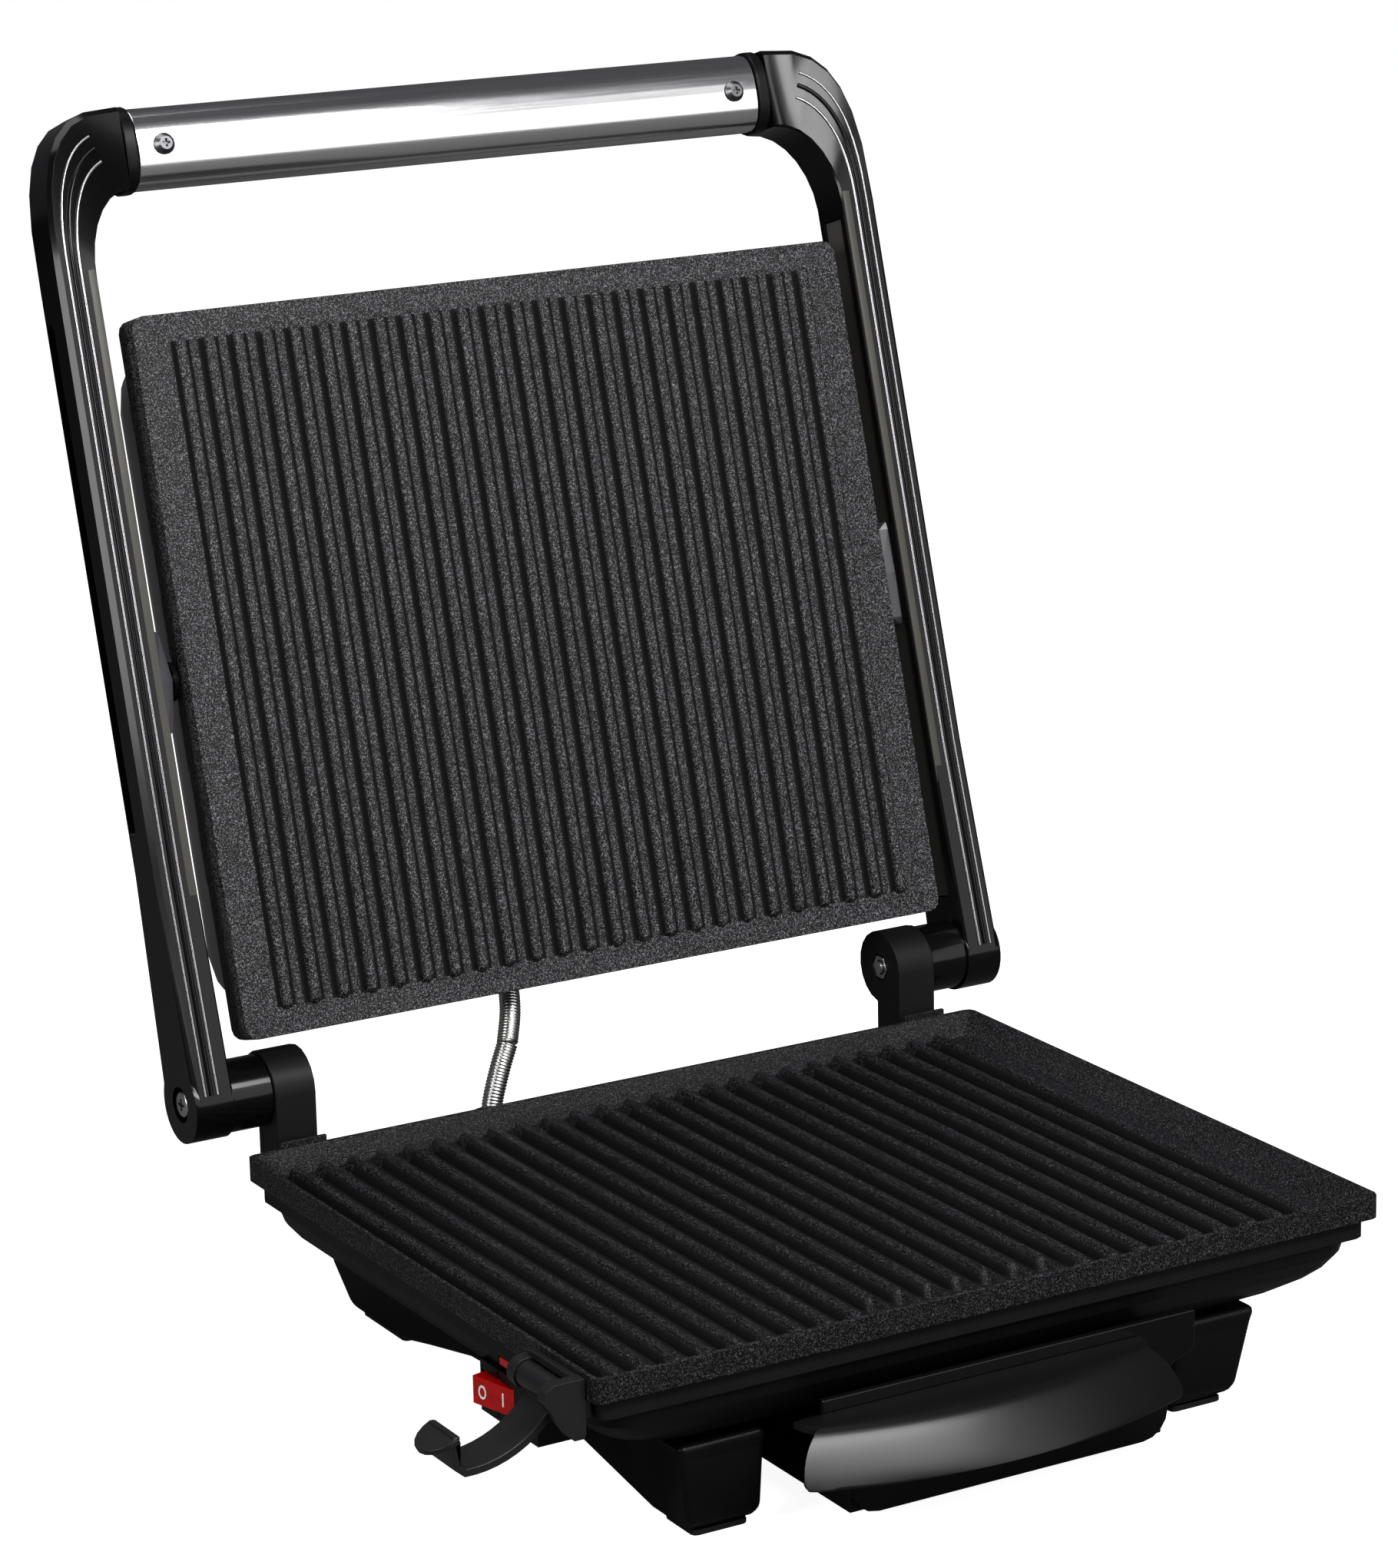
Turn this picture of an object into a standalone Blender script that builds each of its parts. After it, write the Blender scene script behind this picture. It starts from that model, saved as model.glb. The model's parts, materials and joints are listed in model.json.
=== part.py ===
"""Panini press with a hinged upper plate that also tilts between its arms.

The press stands on its feet, +Z up and its front towards -Y. Shapes are given from the middle of
the lower plate's rim, at the height of the rim's top, and the whole press is moved at the end so
that its origin is at the middle of its footprint, on the table. Pieces of the lid are given in the
lid's own frame: X along the hinge, Y behind the plates and Z up along the arms.
"""

from math import acos, cos, degrees, pi, radians, sin, sqrt

import bmesh
import bpy
from mathutils import Matrix, Vector

# Clearances and common walls, in metres.
FIT = 0.0004
RUN = 0.0005
SHEET = 0.0008

# Lower plate.
PLATE_WIDTH = 0.300
PLATE_DEPTH = 0.248
RIM_X = PLATE_WIDTH / 2
RIM_Y = PLATE_DEPTH / 2
RIM_HEIGHT = 0.0084
RIM_LIP = 0.0016
BASIN_DEPTH = 0.0072
BASIN_SLOPE = 0.0075
BASIN_FRONT_SLOPE = 0.0045
PLATE_BELLY = 0.0036
BELLY_INSET = 0.0095
RIB_PITCH = 0.011
RIB_COUNT = round((PLATE_WIDTH - 0.036) / RIB_PITCH)
RIB_WIDTH = 0.0066
RIB_CROWN = 0.0034
RIB_HEIGHT = 0.0042
RIB_END_GAP = 0.0010
DRAIN_FIRST_RIB = RIB_COUNT // 3
DRAIN_LAST_RIB = DRAIN_FIRST_RIB + 6
DRAIN_LENGTH = 0.011
TAB_WIDTH = 0.0175
TAB_HEIGHT = 0.0024
TAB_DEPTH = 0.0055

# Base under the lower plate.
SURROUND_INSET = 0.0032
SURROUND_HEIGHT = 0.0068
SURROUND_WALL = 0.0036
TUB_DEPTH = 0.0204
TUB_INSET = 0.0050
TUB_WALL = 0.0026
TUB_ROUNDING = 0.042
TUB_FRONT_SHARE = 0.6
LEG_BOTTOM = 0.0715
LEG_TOP_X = RIM_X - 0.038
LEG_BOTTOM_X = RIM_X - 0.0445
LEG_INNER_X = RIM_X - 0.0705
FRONT_FOOT_Y = -RIM_Y + 0.0215
FRONT_FOOT_LENGTH = 0.025
REAR_FOOT_Y = RIM_Y + 0.013
REAR_FOOT_LENGTH = 0.039
ARCH_RISE = 0.0145
FOOT_PAD = 0.0020
BRIDGE_WIDTH = PLATE_WIDTH - 0.076
BRIDGE_DEPTH = 0.0238
BRIDGE_WALL = 0.0030
EAR_HEIGHT = 0.0062
EAR_GUSSET = 0.0020

# Hinge between the base and the arms.
HINGE_Y = RIM_Y + 0.0172
HINGE_Z = 0.0167
LID_LEAN = radians(16.0)
BRACKET_INNER_X = RIM_X - 0.0295
BRACKET_OUTER_X = RIM_X - 0.0140
BRACKET_RADIUS = 0.0138
BRACKET_POST = 0.0156
BOLT_RADIUS = 0.0025
BOLT_HEAD_RADIUS = 0.0042
BOLT_HEAD = 0.0030
NUT_RADIUS = 0.0047
NUT_HEIGHT = 0.0034

# Tilting head.
HEAD_WIDTH = PLATE_WIDTH - 0.014
HEAD_LENGTH = PLATE_DEPTH + 0.006
HEAD_START = 0.0179
HEAD_FACE = -0.0134
HEAD_BACK = -0.0005
UPPER_RIB_HEIGHT = 0.0028
UPPER_RIB_MARGIN = 0.0082
COVER_WIDTH = HEAD_WIDTH - 0.006
COVER_MARGIN = 0.0045
COVER_DEPTH = 0.034
COVER_WALL = 0.0022
SLOT_LENGTH = 0.021
SLOT_WIDTH = 0.0024
SLOT_PITCH = HEAD_LENGTH * 0.158
SLOT_COUNT = 5
TILT_S = HEAD_START + HEAD_LENGTH / 2 + 0.0006
SLOT_MIDDLE = TILT_S + 0.0190
TILT_N = 0.0012
TILT_DISC_RADIUS = 0.0070
TILT_PIN_RADIUS = 0.0028
TILT_PIN_GRIP = 0.0014
BLOCK_HALF = 0.0194
BLOCK_BULGE = 0.0056

# Arms and handle.
ARM_OUTER_X = RIM_X + 0.0160
ARM_INNER_X = RIM_X + 0.0015
ARM_FRONT = -0.011
ARM_BACK = 0.0088
ARM_END_RADIUS = 0.0138
ARM_FLARE = 0.080
ELBOW_SQUARENESS = 3.0
BOSS_RADIUS = 0.0128
ELBOW_START = HEAD_START + HEAD_LENGTH + 0.0141
HANDLE_S = ELBOW_START + 0.046
HANDLE_N = 0.0064
HANDLE_HEIGHT = 0.029
HANDLE_DEPTH = 0.022
HANDLE_HALF = ARM_OUTER_X - 0.040
HANDLE_WALL = 0.0016
COLLAR_WIDTH = 0.0048
COLLAR_PROUD = 0.0010
SPIGOT = 0.016
SCREW_RADIUS = 0.0018
SCREW_HEAD_RADIUS = 0.0040
GROOVE_START = 0.094
GROOVE_END = ELBOW_START - 0.012
GROOVE_WIDTH = 0.0060
GROOVE_DEPTH = 0.0030
STRIP_WIDTH = 0.0112
STRIP_THICK = 0.0014
STRIP_START = 0.022
STRIP_END = ELBOW_START - 0.006

# Latch hook at the left front corner.
LATCH_X = -RIM_X - 0.0050
LATCH_Z = -0.008
LATCH_BARREL = 0.0043
LATCH_PIN = 0.0015
LATCH_FRONT = -RIM_Y + 0.0060
LATCH_WING = 0.0045
LATCH_LENGTH = 0.0335
HOOK_REACH = 0.0338
HOOK_THICK = 0.0022
HOOK_WIDTH = 0.0165
HOOK_CURVE = HOOK_REACH + 0.0044
TAB_REACH = 0.0105
TAB_HALF = 0.0095

# Switch and pilot lamp on the left side.
SWITCH_X = -RIM_X + 0.0050
SWITCH_Y = -0.0500
SWITCH_Z = -0.0304
ROCKER_INSET = 0.0015
ROCKER_LENGTH = 0.0196
ROCKER_HEIGHT = 0.0094
ROCKER_DEPTH = 0.0039
ROCKER_TILT = radians(14.0)
ROCKER_PIN = 0.0012
ROCKER_PIN_REACH = 0.0075
SWITCH_BOX_FRONT = -0.076
SWITCH_BOX_REAR = -0.038
SWITCH_BOX_INNER_X = SWITCH_X + 0.0235
SWITCH_BOX_BOTTOM = -0.0396
SWITCH_BOX_TOP = -0.0220
SWITCH_BOX_WALL = 0.0022
LENS_LENGTH = 0.0110
LENS_HEIGHT = 0.0028
LENS_Y = -0.0555

# Drip tray.
TRAY_FACE_Y = -RIM_Y - 0.0035
TRAY_TOP = -0.0229
TRAY_BOTTOM = -0.065
TRAY_HALF = 0.061
PANEL_HALF = 0.0716
PANEL_THICK = 0.0026
PAN_WALL = 0.0014
PAN_BACK = RIM_Y - 0.030
PAN_TOP = -0.0384
TRAY_LIP = 0.0050
RAIL_THICK = 0.0016

# Conduit and mains inlet at the back.
CONDUIT_RADIUS = 0.0040
CONDUIT_X = -0.047
CONDUIT_SHIFT = 0.017
CONDUIT_TOP_N = 0.0076
GLAND_RADIUS = 0.0066
INLET_X = 0.060
INLET_Z = -0.0240
INLET_BORE = 0.0037

SURROUND_TOP = -RIM_HEIGHT - FIT
SURROUND_BOTTOM = SURROUND_TOP - SURROUND_HEIGHT
TUB_TOP = SURROUND_BOTTOM - FIT
TUB_BOTTOM = TUB_TOP - TUB_DEPTH
LEG_TOP = TUB_BOTTOM - FIT
BRIDGE_TOP = -RIM_HEIGHT - 0.0008
BRIDGE_FRONT = RIM_Y - SURROUND_INSET + 0.0014
BRIDGE_BACK = BRIDGE_FRONT + BRIDGE_DEPTH
CONDUIT_Y = HINGE_Y - 0.0045
HEAD_RECESS_X = ARM_OUTER_X - 0.0056
STRIP_N = (ARM_FRONT + ARM_BACK) / 2
PIN_END_X = ARM_INNER_X + 0.008
PIVOT_DISC_X = ARM_INNER_X - FIT - BLOCK_BULGE - FIT
SCREW_X = HANDLE_HALF - 0.010
LENS_OUTER_X = -RIM_X + TUB_INSET + 0.0006
LENS_Z = (TUB_TOP + SWITCH_BOX_TOP) / 2

for old in list(bpy.data.objects):
    bpy.data.objects.remove(old, do_unlink=True)
press = bpy.data.collections.new("panini_press")
bpy.context.scene.collection.children.link(press)
cutters = bpy.data.collections.new("cutters")
bpy.context.scene.collection.children.link(cutters)


def finish(name, colour, roughness, metallic=0.0):
    """A plain Principled material."""
    material = bpy.data.materials.new(name)
    material.use_nodes = True
    shader = material.node_tree.nodes["Principled BSDF"]
    shader.inputs["Base Color"].default_value = (*colour, 1.0)
    shader.inputs["Roughness"].default_value = roughness
    shader.inputs["Metallic"].default_value = metallic
    return material


BLACK_PLASTIC = finish("black_plastic", (0.012, 0.012, 0.013), 0.38)
GLOSS_BLACK = finish("gloss_black", (0.008, 0.008, 0.009), 0.12)
DARK_PLASTIC = finish("dark_grey_plastic", (0.035, 0.035, 0.037), 0.55)
GREY_STRIP = finish("grey_strip", (0.16, 0.15, 0.14), 0.35)
NON_STICK = finish("non_stick", (0.018, 0.018, 0.019), 0.5)
ALUMINIUM = finish("polished_aluminium", (0.80, 0.80, 0.81), 0.16, 1.0)
STEEL = finish("bright_steel", (0.62, 0.62, 0.61), 0.3, 1.0)
ZINC = finish("zinc_plated_steel", (0.55, 0.55, 0.54), 0.35, 1.0)
CERAMIC = finish("ceramic", (0.85, 0.82, 0.76), 0.4)
RUBBER = finish("rubber", (0.02, 0.02, 0.02), 0.8)
RED = finish("clear_red", (0.6, 0.012, 0.01), 0.12)


def axis_empty(name, parent=None, location=(0, 0, 0), rotation=(0, 0, 0)):
    empty = bpy.data.objects.new(name, None)
    empty.empty_display_size = 0.02
    empty.location = location
    empty.rotation_euler = rotation
    empty.parent = parent
    press.objects.link(empty)
    return empty


BASE = axis_empty("press_frame")
LID = axis_empty("lid_axis", BASE, (0, HINGE_Y, HINGE_Z), (-LID_LEAN, 0, 0))
HEAD = axis_empty("tilt_axis", LID, (0, TILT_N, TILT_S))
LATCH = axis_empty("latch_axis", BASE, (LATCH_X, 0, LATCH_Z))
ROCKER = axis_empty("rocker_axis", BASE, (SWITCH_X + ROCKER_INSET, SWITCH_Y, SWITCH_Z))
TRAY = axis_empty("tray_axis", BASE, (0, TRAY_FACE_Y, 0))


def place(name, mesh, material, parent, location=(0, 0, 0), rotation=(0, 0, 0)):
    """Links a mesh as a part of the press, or as a cutter where it has no material."""
    obj = bpy.data.objects.new(name, mesh)
    obj.location = location
    obj.rotation_euler = rotation
    obj.parent = parent
    if material is None:
        cutters.objects.link(obj)
        obj.hide_render = True
        obj.display_type = "WIRE"
    else:
        press.objects.link(obj)
        mesh.materials.append(material)
    return obj


def mesh_from(bm, name, smooth=False):
    bmesh.ops.remove_doubles(bm, verts=bm.verts, dist=1e-6)
    bmesh.ops.recalc_face_normals(bm, faces=bm.faces)
    mesh = bpy.data.meshes.new(name)
    bm.to_mesh(mesh)
    bm.free()
    if smooth:
        mesh.shade_smooth()
        mesh.set_sharp_from_angle(angle=radians(35))
    return mesh


def block(name, low, high, material, parent, bevel=0.0, upright_only=False):
    """A box between two corners, with its edges rounded where a bevel is given."""
    low, high = Vector(low), Vector(high)
    bm = bmesh.new()
    bmesh.ops.create_cube(bm, size=1.0)
    bmesh.ops.scale(bm, vec=high - low, verts=bm.verts)
    if bevel > 0:
        edges = list(bm.edges)
        if upright_only:
            edges = [e for e in edges if abs(e.verts[0].co.z - e.verts[1].co.z) > 1e-5]
        bmesh.ops.bevel(bm, geom=edges, offset=bevel, segments=2, affect="EDGES", profile=0.5)
    return place(name, mesh_from(bm, name), material, parent, (low + high) / 2)


AXIS_TURN = {
    "X": Matrix.Rotation(pi / 2, 4, "Y"),
    "Y": Matrix.Rotation(-pi / 2, 4, "X"),
    "Z": Matrix.Identity(4),
}


def rod(name, radius, start, end, axis, centre, material, parent, sides=24, end_radius=None):
    """A cylinder or cone along one axis from start to end; centre gives its other two places."""
    bm = bmesh.new()
    bmesh.ops.create_cone(
        bm,
        cap_ends=True,
        segments=sides,
        radius1=radius,
        radius2=radius if end_radius is None else end_radius,
        depth=end - start,
    )
    bmesh.ops.transform(bm, matrix=AXIS_TURN[axis], verts=bm.verts)
    middle = (start + end) / 2
    location = {
        "X": (middle, centre[0], centre[1]),
        "Y": (centre[0], middle, centre[1]),
        "Z": (centre[0], centre[1], middle),
    }[axis]
    return place(name, mesh_from(bm, name, True), material, parent, location)


def flat_outline(name, points, start, end, axis, material, parent, location=(0, 0, 0)):
    """A flat outline with thickness, extruded along one axis from start to end.

    The outline's two coordinates are (Y, Z) along X, (X, Z) along Y and (X, Y) along Z.
    """
    curve = bpy.data.curves.new(name, "CURVE")
    curve.dimensions = "2D"
    curve.fill_mode = "BOTH"
    curve.extrude = (end - start) / 2
    spline = curve.splines.new("POLY")
    spline.points.add(len(points) - 1)
    for point, (u, v) in zip(spline.points, points):
        point.co = (u, v, 0, 1)
    spline.use_cyclic_u = True
    guide = bpy.data.objects.new(name, curve)
    bpy.context.scene.collection.objects.link(guide)
    graph = bpy.context.evaluated_depsgraph_get()
    mesh = bpy.data.meshes.new_from_object(guide.evaluated_get(graph))
    bpy.data.objects.remove(guide, do_unlink=True)
    bpy.data.curves.remove(curve)
    bm = bmesh.new()
    bm.from_mesh(mesh)
    bpy.data.meshes.remove(mesh)
    bmesh.ops.translate(bm, vec=(0, 0, (start + end) / 2), verts=bm.verts)
    turn = {
        "X": Matrix(((0, 0, 1, 0), (1, 0, 0, 0), (0, 1, 0, 0), (0, 0, 0, 1))),
        "Y": Matrix(((1, 0, 0, 0), (0, 0, 1, 0), (0, 1, 0, 0), (0, 0, 0, 1))),
        "Z": Matrix.Identity(4),
    }[axis]
    bmesh.ops.transform(bm, matrix=turn, verts=bm.verts)
    return place(name, mesh_from(bm, name), material, parent, location)


def loft(name, rings, material, parent, location=(0, 0, 0), closed_path=False):
    """A closed solid through rings of the same number of points, capped at both ends."""
    bm = bmesh.new()
    loops = []
    for ring in rings:
        verts = [bm.verts.new(point) for point in ring]
        loops.append([bm.edges.new((a, b)) for a, b in zip(verts, verts[1:] + verts[:1])])
    pairs = list(zip(loops, loops[1:]))
    if closed_path:
        pairs.append((loops[-1], loops[0]))
    for first, second in pairs:
        bmesh.ops.bridge_loops(bm, edges=first + second)
    if not closed_path:
        for loop in (loops[0], loops[-1]):
            bmesh.ops.contextual_create(bm, geom=loop)
    return place(name, mesh_from(bm, name), material, parent, location)


def cut(target, tool, operation="DIFFERENCE"):
    modifier = target.modifiers.new(f"{operation.lower()}_{tool.name}", "BOOLEAN")
    modifier.operation = operation
    modifier.solver = "EXACT"
    modifier.object = tool
    return target


def join(target, tool):
    return cut(target, tool, "UNION")


def arc(centre, radius, start, end, steps, height=None):
    """Points on a circle, or on an ellipse where a height is given, between two angles in degrees."""
    height = radius if height is None else height
    turns = [radians(start + (end - start) * i / steps) for i in range(steps + 1)]
    return [(centre[0] + radius * cos(t), centre[1] + height * sin(t)) for t in turns]


def rounded_rectangle(left, right, low, high, corner, steps=4):
    points = []
    for (x, y), start in (
        ((right - corner, high - corner), 0),
        ((left + corner, high - corner), 90),
        ((left + corner, low + corner), 180),
        ((right - corner, low + corner), 270),
    ):
        points += arc((x, y), corner, start, start + 90, steps)
    return points


def ring_at(points, height):
    return [(x, y, height) for x, y in points]


def rib_x(index):
    return (index - (RIB_COUNT - 1) / 2) * RIB_PITCH


def rib(name, x, start, end, base, crown, parent, upright=False):
    """A grill rib with sloping sides and rounded ends, from its base height to its crown.

    On the lower plate the rib lies along Y and rises along Z. On the head it lies along Z and
    rises towards -Y.
    """
    rings = []
    for inset, height in ((0.0, base), (0.0012, base + (crown - base) * 0.75), (0.0021, crown)):
        half = RIB_WIDTH / 2 - inset
        ends = arc((x, end - half - inset), half, 0, 180, 4)
        ends += arc((x, start + half + inset), half, 180, 360, 4)
        rings.append([(u, height, v) if upright else (u, v, height) for u, v in ends])
    return loft(name, rings, None, parent)


# ---------------------------------------------------------------- lower plate
def lower_plate():
    """The cast lower plate: a thin-lipped rim, sloping inner walls and raised ribs."""
    plate = block(
        "lower_plate",
        (-RIM_X, -RIM_Y, -RIM_HEIGHT),
        (RIM_X, RIM_Y, 0),
        NON_STICK,
        BASE,
        bevel=0.003,
        upright_only=True,
    )
    belly = block(
        "lower_plate_belly",
        (-RIM_X + BELLY_INSET, -RIM_Y + BELLY_INSET, -RIM_HEIGHT - PLATE_BELLY),
        (RIM_X - BELLY_INSET, RIM_Y - BELLY_INSET, -RIM_HEIGHT + 0.001),
        None,
        BASE,
    )
    join(plate, belly)
    for side in (-1, 1):
        middle = side * (BRACKET_INNER_X + BRACKET_OUTER_X) / 2
        tab = block(
            f"lower_plate_tab_{side}",
            (middle - TAB_WIDTH / 2, RIM_Y - TAB_DEPTH, -0.002),
            (middle + TAB_WIDTH / 2, RIM_Y, TAB_HEIGHT),
            None,
            BASE,
        )
        join(plate, tab)
    mouth = rounded_rectangle(-RIM_X + RIM_LIP, RIM_X - RIM_LIP, -RIM_Y + RIM_LIP, RIM_Y - RIM_LIP, 0.002, 2)
    slope = RIM_LIP + BASIN_SLOPE
    front = RIM_LIP + BASIN_FRONT_SLOPE
    floor = rounded_rectangle(-RIM_X + slope, RIM_X - slope, -RIM_Y + front, RIM_Y - slope, 0.002, 2)
    basin = loft(
        "lower_plate_basin",
        [ring_at(floor, -BASIN_DEPTH), ring_at(mouth, 0), ring_at(mouth, TAB_HEIGHT + 0.002)],
        None,
        BASE,
    )
    cut(plate, basin)
    for index in range(-1, RIB_COUNT):
        front_end = -RIM_Y + front + RIB_END_GAP
        if DRAIN_FIRST_RIB <= index <= DRAIN_LAST_RIB:
            front_end += DRAIN_LENGTH
        back_end = RIM_Y - slope - RIB_END_GAP
        tool = rib(
            f"lower_rib_{index + 1:02d}",
            rib_x(index),
            front_end,
            back_end,
            -BASIN_DEPTH - 0.0008,
            -BASIN_DEPTH + RIB_HEIGHT,
            BASE,
        )
        join(plate, tool)
    return plate


def plate_surround():
    """The heat-resistant band between the plate's rim and the tub."""
    x, y = RIM_X - SURROUND_INSET, RIM_Y - SURROUND_INSET
    outer = rounded_rectangle(-x, x, -y, y, 0.004, 2)
    wall = SURROUND_WALL
    inner = rounded_rectangle(-x + wall, x - wall, -y + wall, y - wall, 0.002, 2)
    ring = flat_outline("plate_surround", outer, SURROUND_BOTTOM, SURROUND_TOP, "Z", BLACK_PLASTIC, BASE)
    hole = flat_outline(
        "plate_surround_hole", inner, SURROUND_BOTTOM - 0.002, SURROUND_TOP + 0.002, "Z", None, BASE
    )
    return cut(ring, hole)


def heater(name, width, length, height, parent, upright=False):
    """A tubular heating element bent in two loops, with both ends at the hinge side."""
    radius = 0.0032
    bend = 0.020
    x, y = width / 2, length / 2
    path = [(-0.012, y)] + arc((-0.012 - bend, -y * 0.35), bend, 0, -180, 6)
    path += arc((-x + bend, y - bend), bend, 0, 180, 6) + arc((-x + bend, -y + bend), bend, 180, 270, 4)
    path += arc((x - bend, -y + bend), bend, 270, 360, 4) + arc((x - bend, y - bend), bend, 0, 180, 6)
    path += arc((0.012 + bend, -y * 0.35), bend, 0, -180, 6) + [(0.012, y)]
    curve = bpy.data.curves.new(name, "CURVE")
    curve.dimensions = "3D"
    curve.bevel_depth = radius
    curve.bevel_resolution = 1
    curve.use_fill_caps = True
    spline = curve.splines.new("POLY")
    spline.points.add(len(path) - 1)
    for point, (u, v) in zip(spline.points, path):
        point.co = (u, 0, v, 1) if upright else (u, v, 0, 1)
    curve.materials.append(STEEL)
    obj = bpy.data.objects.new(name, curve)
    obj.location = (0, height, 0) if upright else (0, 0, height)
    obj.parent = parent
    press.objects.link(obj)
    return obj


def reflector(name, width, length, height, parent, upright=False):
    """A shallow sheet-metal dish that throws the element's heat back to the plate."""
    x, y, depth = width / 2, length / 2, 0.0030
    rings = []
    for inset, level in ((0.0, height), (0.004, height - depth)):
        rings.append((rounded_rectangle(-x + inset, x - inset, -y + inset, y - inset, 0.006, 2), level))
    inside = []
    for inset, level in ((SHEET * 1.5, height), (0.004 + SHEET, height - depth + SHEET)):
        inside.append((rounded_rectangle(-x + inset, x - inset, -y + inset, y - inset, 0.005, 2), level))
    inside.reverse()

    def solid(points, level):
        return [(u, -level, v) if upright else (u, v, level) for u, v in points]

    stack = [solid(*ring) for ring in reversed(rings)]
    stack += [solid(*ring) for ring in reversed(inside)]
    return loft(name, stack, STEEL, parent)


# ---------------------------------------------------------------- base
def tub_rings(offset, top, bottom):
    """Levels of the tub's rounded bowl, moved inwards by an offset."""
    rings = []
    half_x, half_y = RIM_X - TUB_INSET - offset, RIM_Y - TUB_INSET - offset
    for turn in (0, 14, 26, 38, 50, 62, 74, 90):
        inset = TUB_ROUNDING * (1 - cos(radians(turn)))
        front = -half_y + inset * TUB_FRONT_SHARE
        corner = 0.012 + inset * 0.4
        outline = rounded_rectangle(-half_x + inset, half_x - inset, front, half_y - inset, corner, 4)
        rings.append(ring_at(outline, top - (top - bottom) * sin(radians(turn))))
    return rings


def base_tub():
    """The bowl under the plate, open at the top, with openings for the switch and the lamp."""
    tub = loft("base_tub", tub_rings(0, TUB_TOP, TUB_BOTTOM), BLACK_PLASTIC, BASE)
    hollow = loft(
        "base_tub_hollow",
        tub_rings(TUB_WALL, TUB_TOP + 0.001, TUB_BOTTOM + TUB_WALL),
        None,
        BASE,
    )
    cut(tub, hollow)
    switch_gap = block(
        "base_tub_switch_gap",
        (SWITCH_X - 0.02, SWITCH_BOX_FRONT - FIT, SWITCH_BOX_BOTTOM - 0.002),
        (SWITCH_BOX_INNER_X + FIT, SWITCH_BOX_REAR + FIT, SWITCH_BOX_TOP + FIT),
        None,
        BASE,
    )
    cut(tub, switch_gap)
    lens_gap = block(
        "base_tub_lens_gap",
        (LENS_OUTER_X - 0.005, LENS_Y - LENS_LENGTH / 2 - FIT, LENS_Z - LENS_HEIGHT / 2 - FIT),
        (LENS_OUTER_X + 0.012, LENS_Y + LENS_LENGTH / 2 + FIT, LENS_Z + LENS_HEIGHT / 2 + FIT),
        None,
        BASE,
    )
    return cut(tub, lens_gap)


def side_runner(side):
    """A side runner with a front and a rear foot and an arch between them."""
    name = "side_runner_left" if side < 0 else "side_runner_right"
    foot = -LEG_BOTTOM + FOOT_PAD + FIT
    front_end = FRONT_FOOT_Y + FRONT_FOOT_LENGTH
    rear_start = REAR_FOOT_Y - REAR_FOOT_LENGTH
    span = rear_start - front_end
    outline = [(FRONT_FOOT_Y + 0.003, foot), (front_end, foot)]
    for share, rise in ((0.12, 0.30), (0.26, 0.66), (0.48, 1.0), (0.68, 0.86), (0.88, 0.34)):
        outline.append((front_end + span * share, foot + ARCH_RISE * rise))
    outline += [(rear_start, foot), (REAR_FOOT_Y - 0.002, foot), (REAR_FOOT_Y + 0.001, foot + 0.002)]
    outline += [(BRIDGE_BACK, foot + 0.016), (BRIDGE_BACK, LEG_TOP), (-0.1075, LEG_TOP)]
    outline += [(-0.106, LEG_TOP - 0.006), (FRONT_FOOT_Y - 0.001, foot + 0.004)]
    runner = flat_outline(name, outline, LEG_INNER_X, LEG_TOP_X, "X", BLACK_PLASTIC, BASE)
    taper = (LEG_TOP_X - LEG_BOTTOM_X) / (LEG_TOP + LEG_BOTTOM)
    for vertex in runner.data.vertices:
        if vertex.co.x > (LEG_INNER_X + LEG_TOP_X) / 2:
            vertex.co.x -= (LEG_TOP - vertex.co.z) * taper
        vertex.co.x *= side
    if side < 0:
        runner.data.flip_normals()
    return runner


def foot_pad(name, side, start, length):
    x_low, x_high = LEG_INNER_X + 0.003, LEG_BOTTOM_X - 0.0025
    low = min(side * x_low, side * x_high)
    high = max(side * x_low, side * x_high)
    return block(
        name,
        (low, start + 0.003, -LEG_BOTTOM),
        (high, start + length - 0.003, -LEG_BOTTOM + FOOT_PAD),
        RUBBER,
        BASE,
        bevel=0.002,
        upright_only=True,
    )


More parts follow.
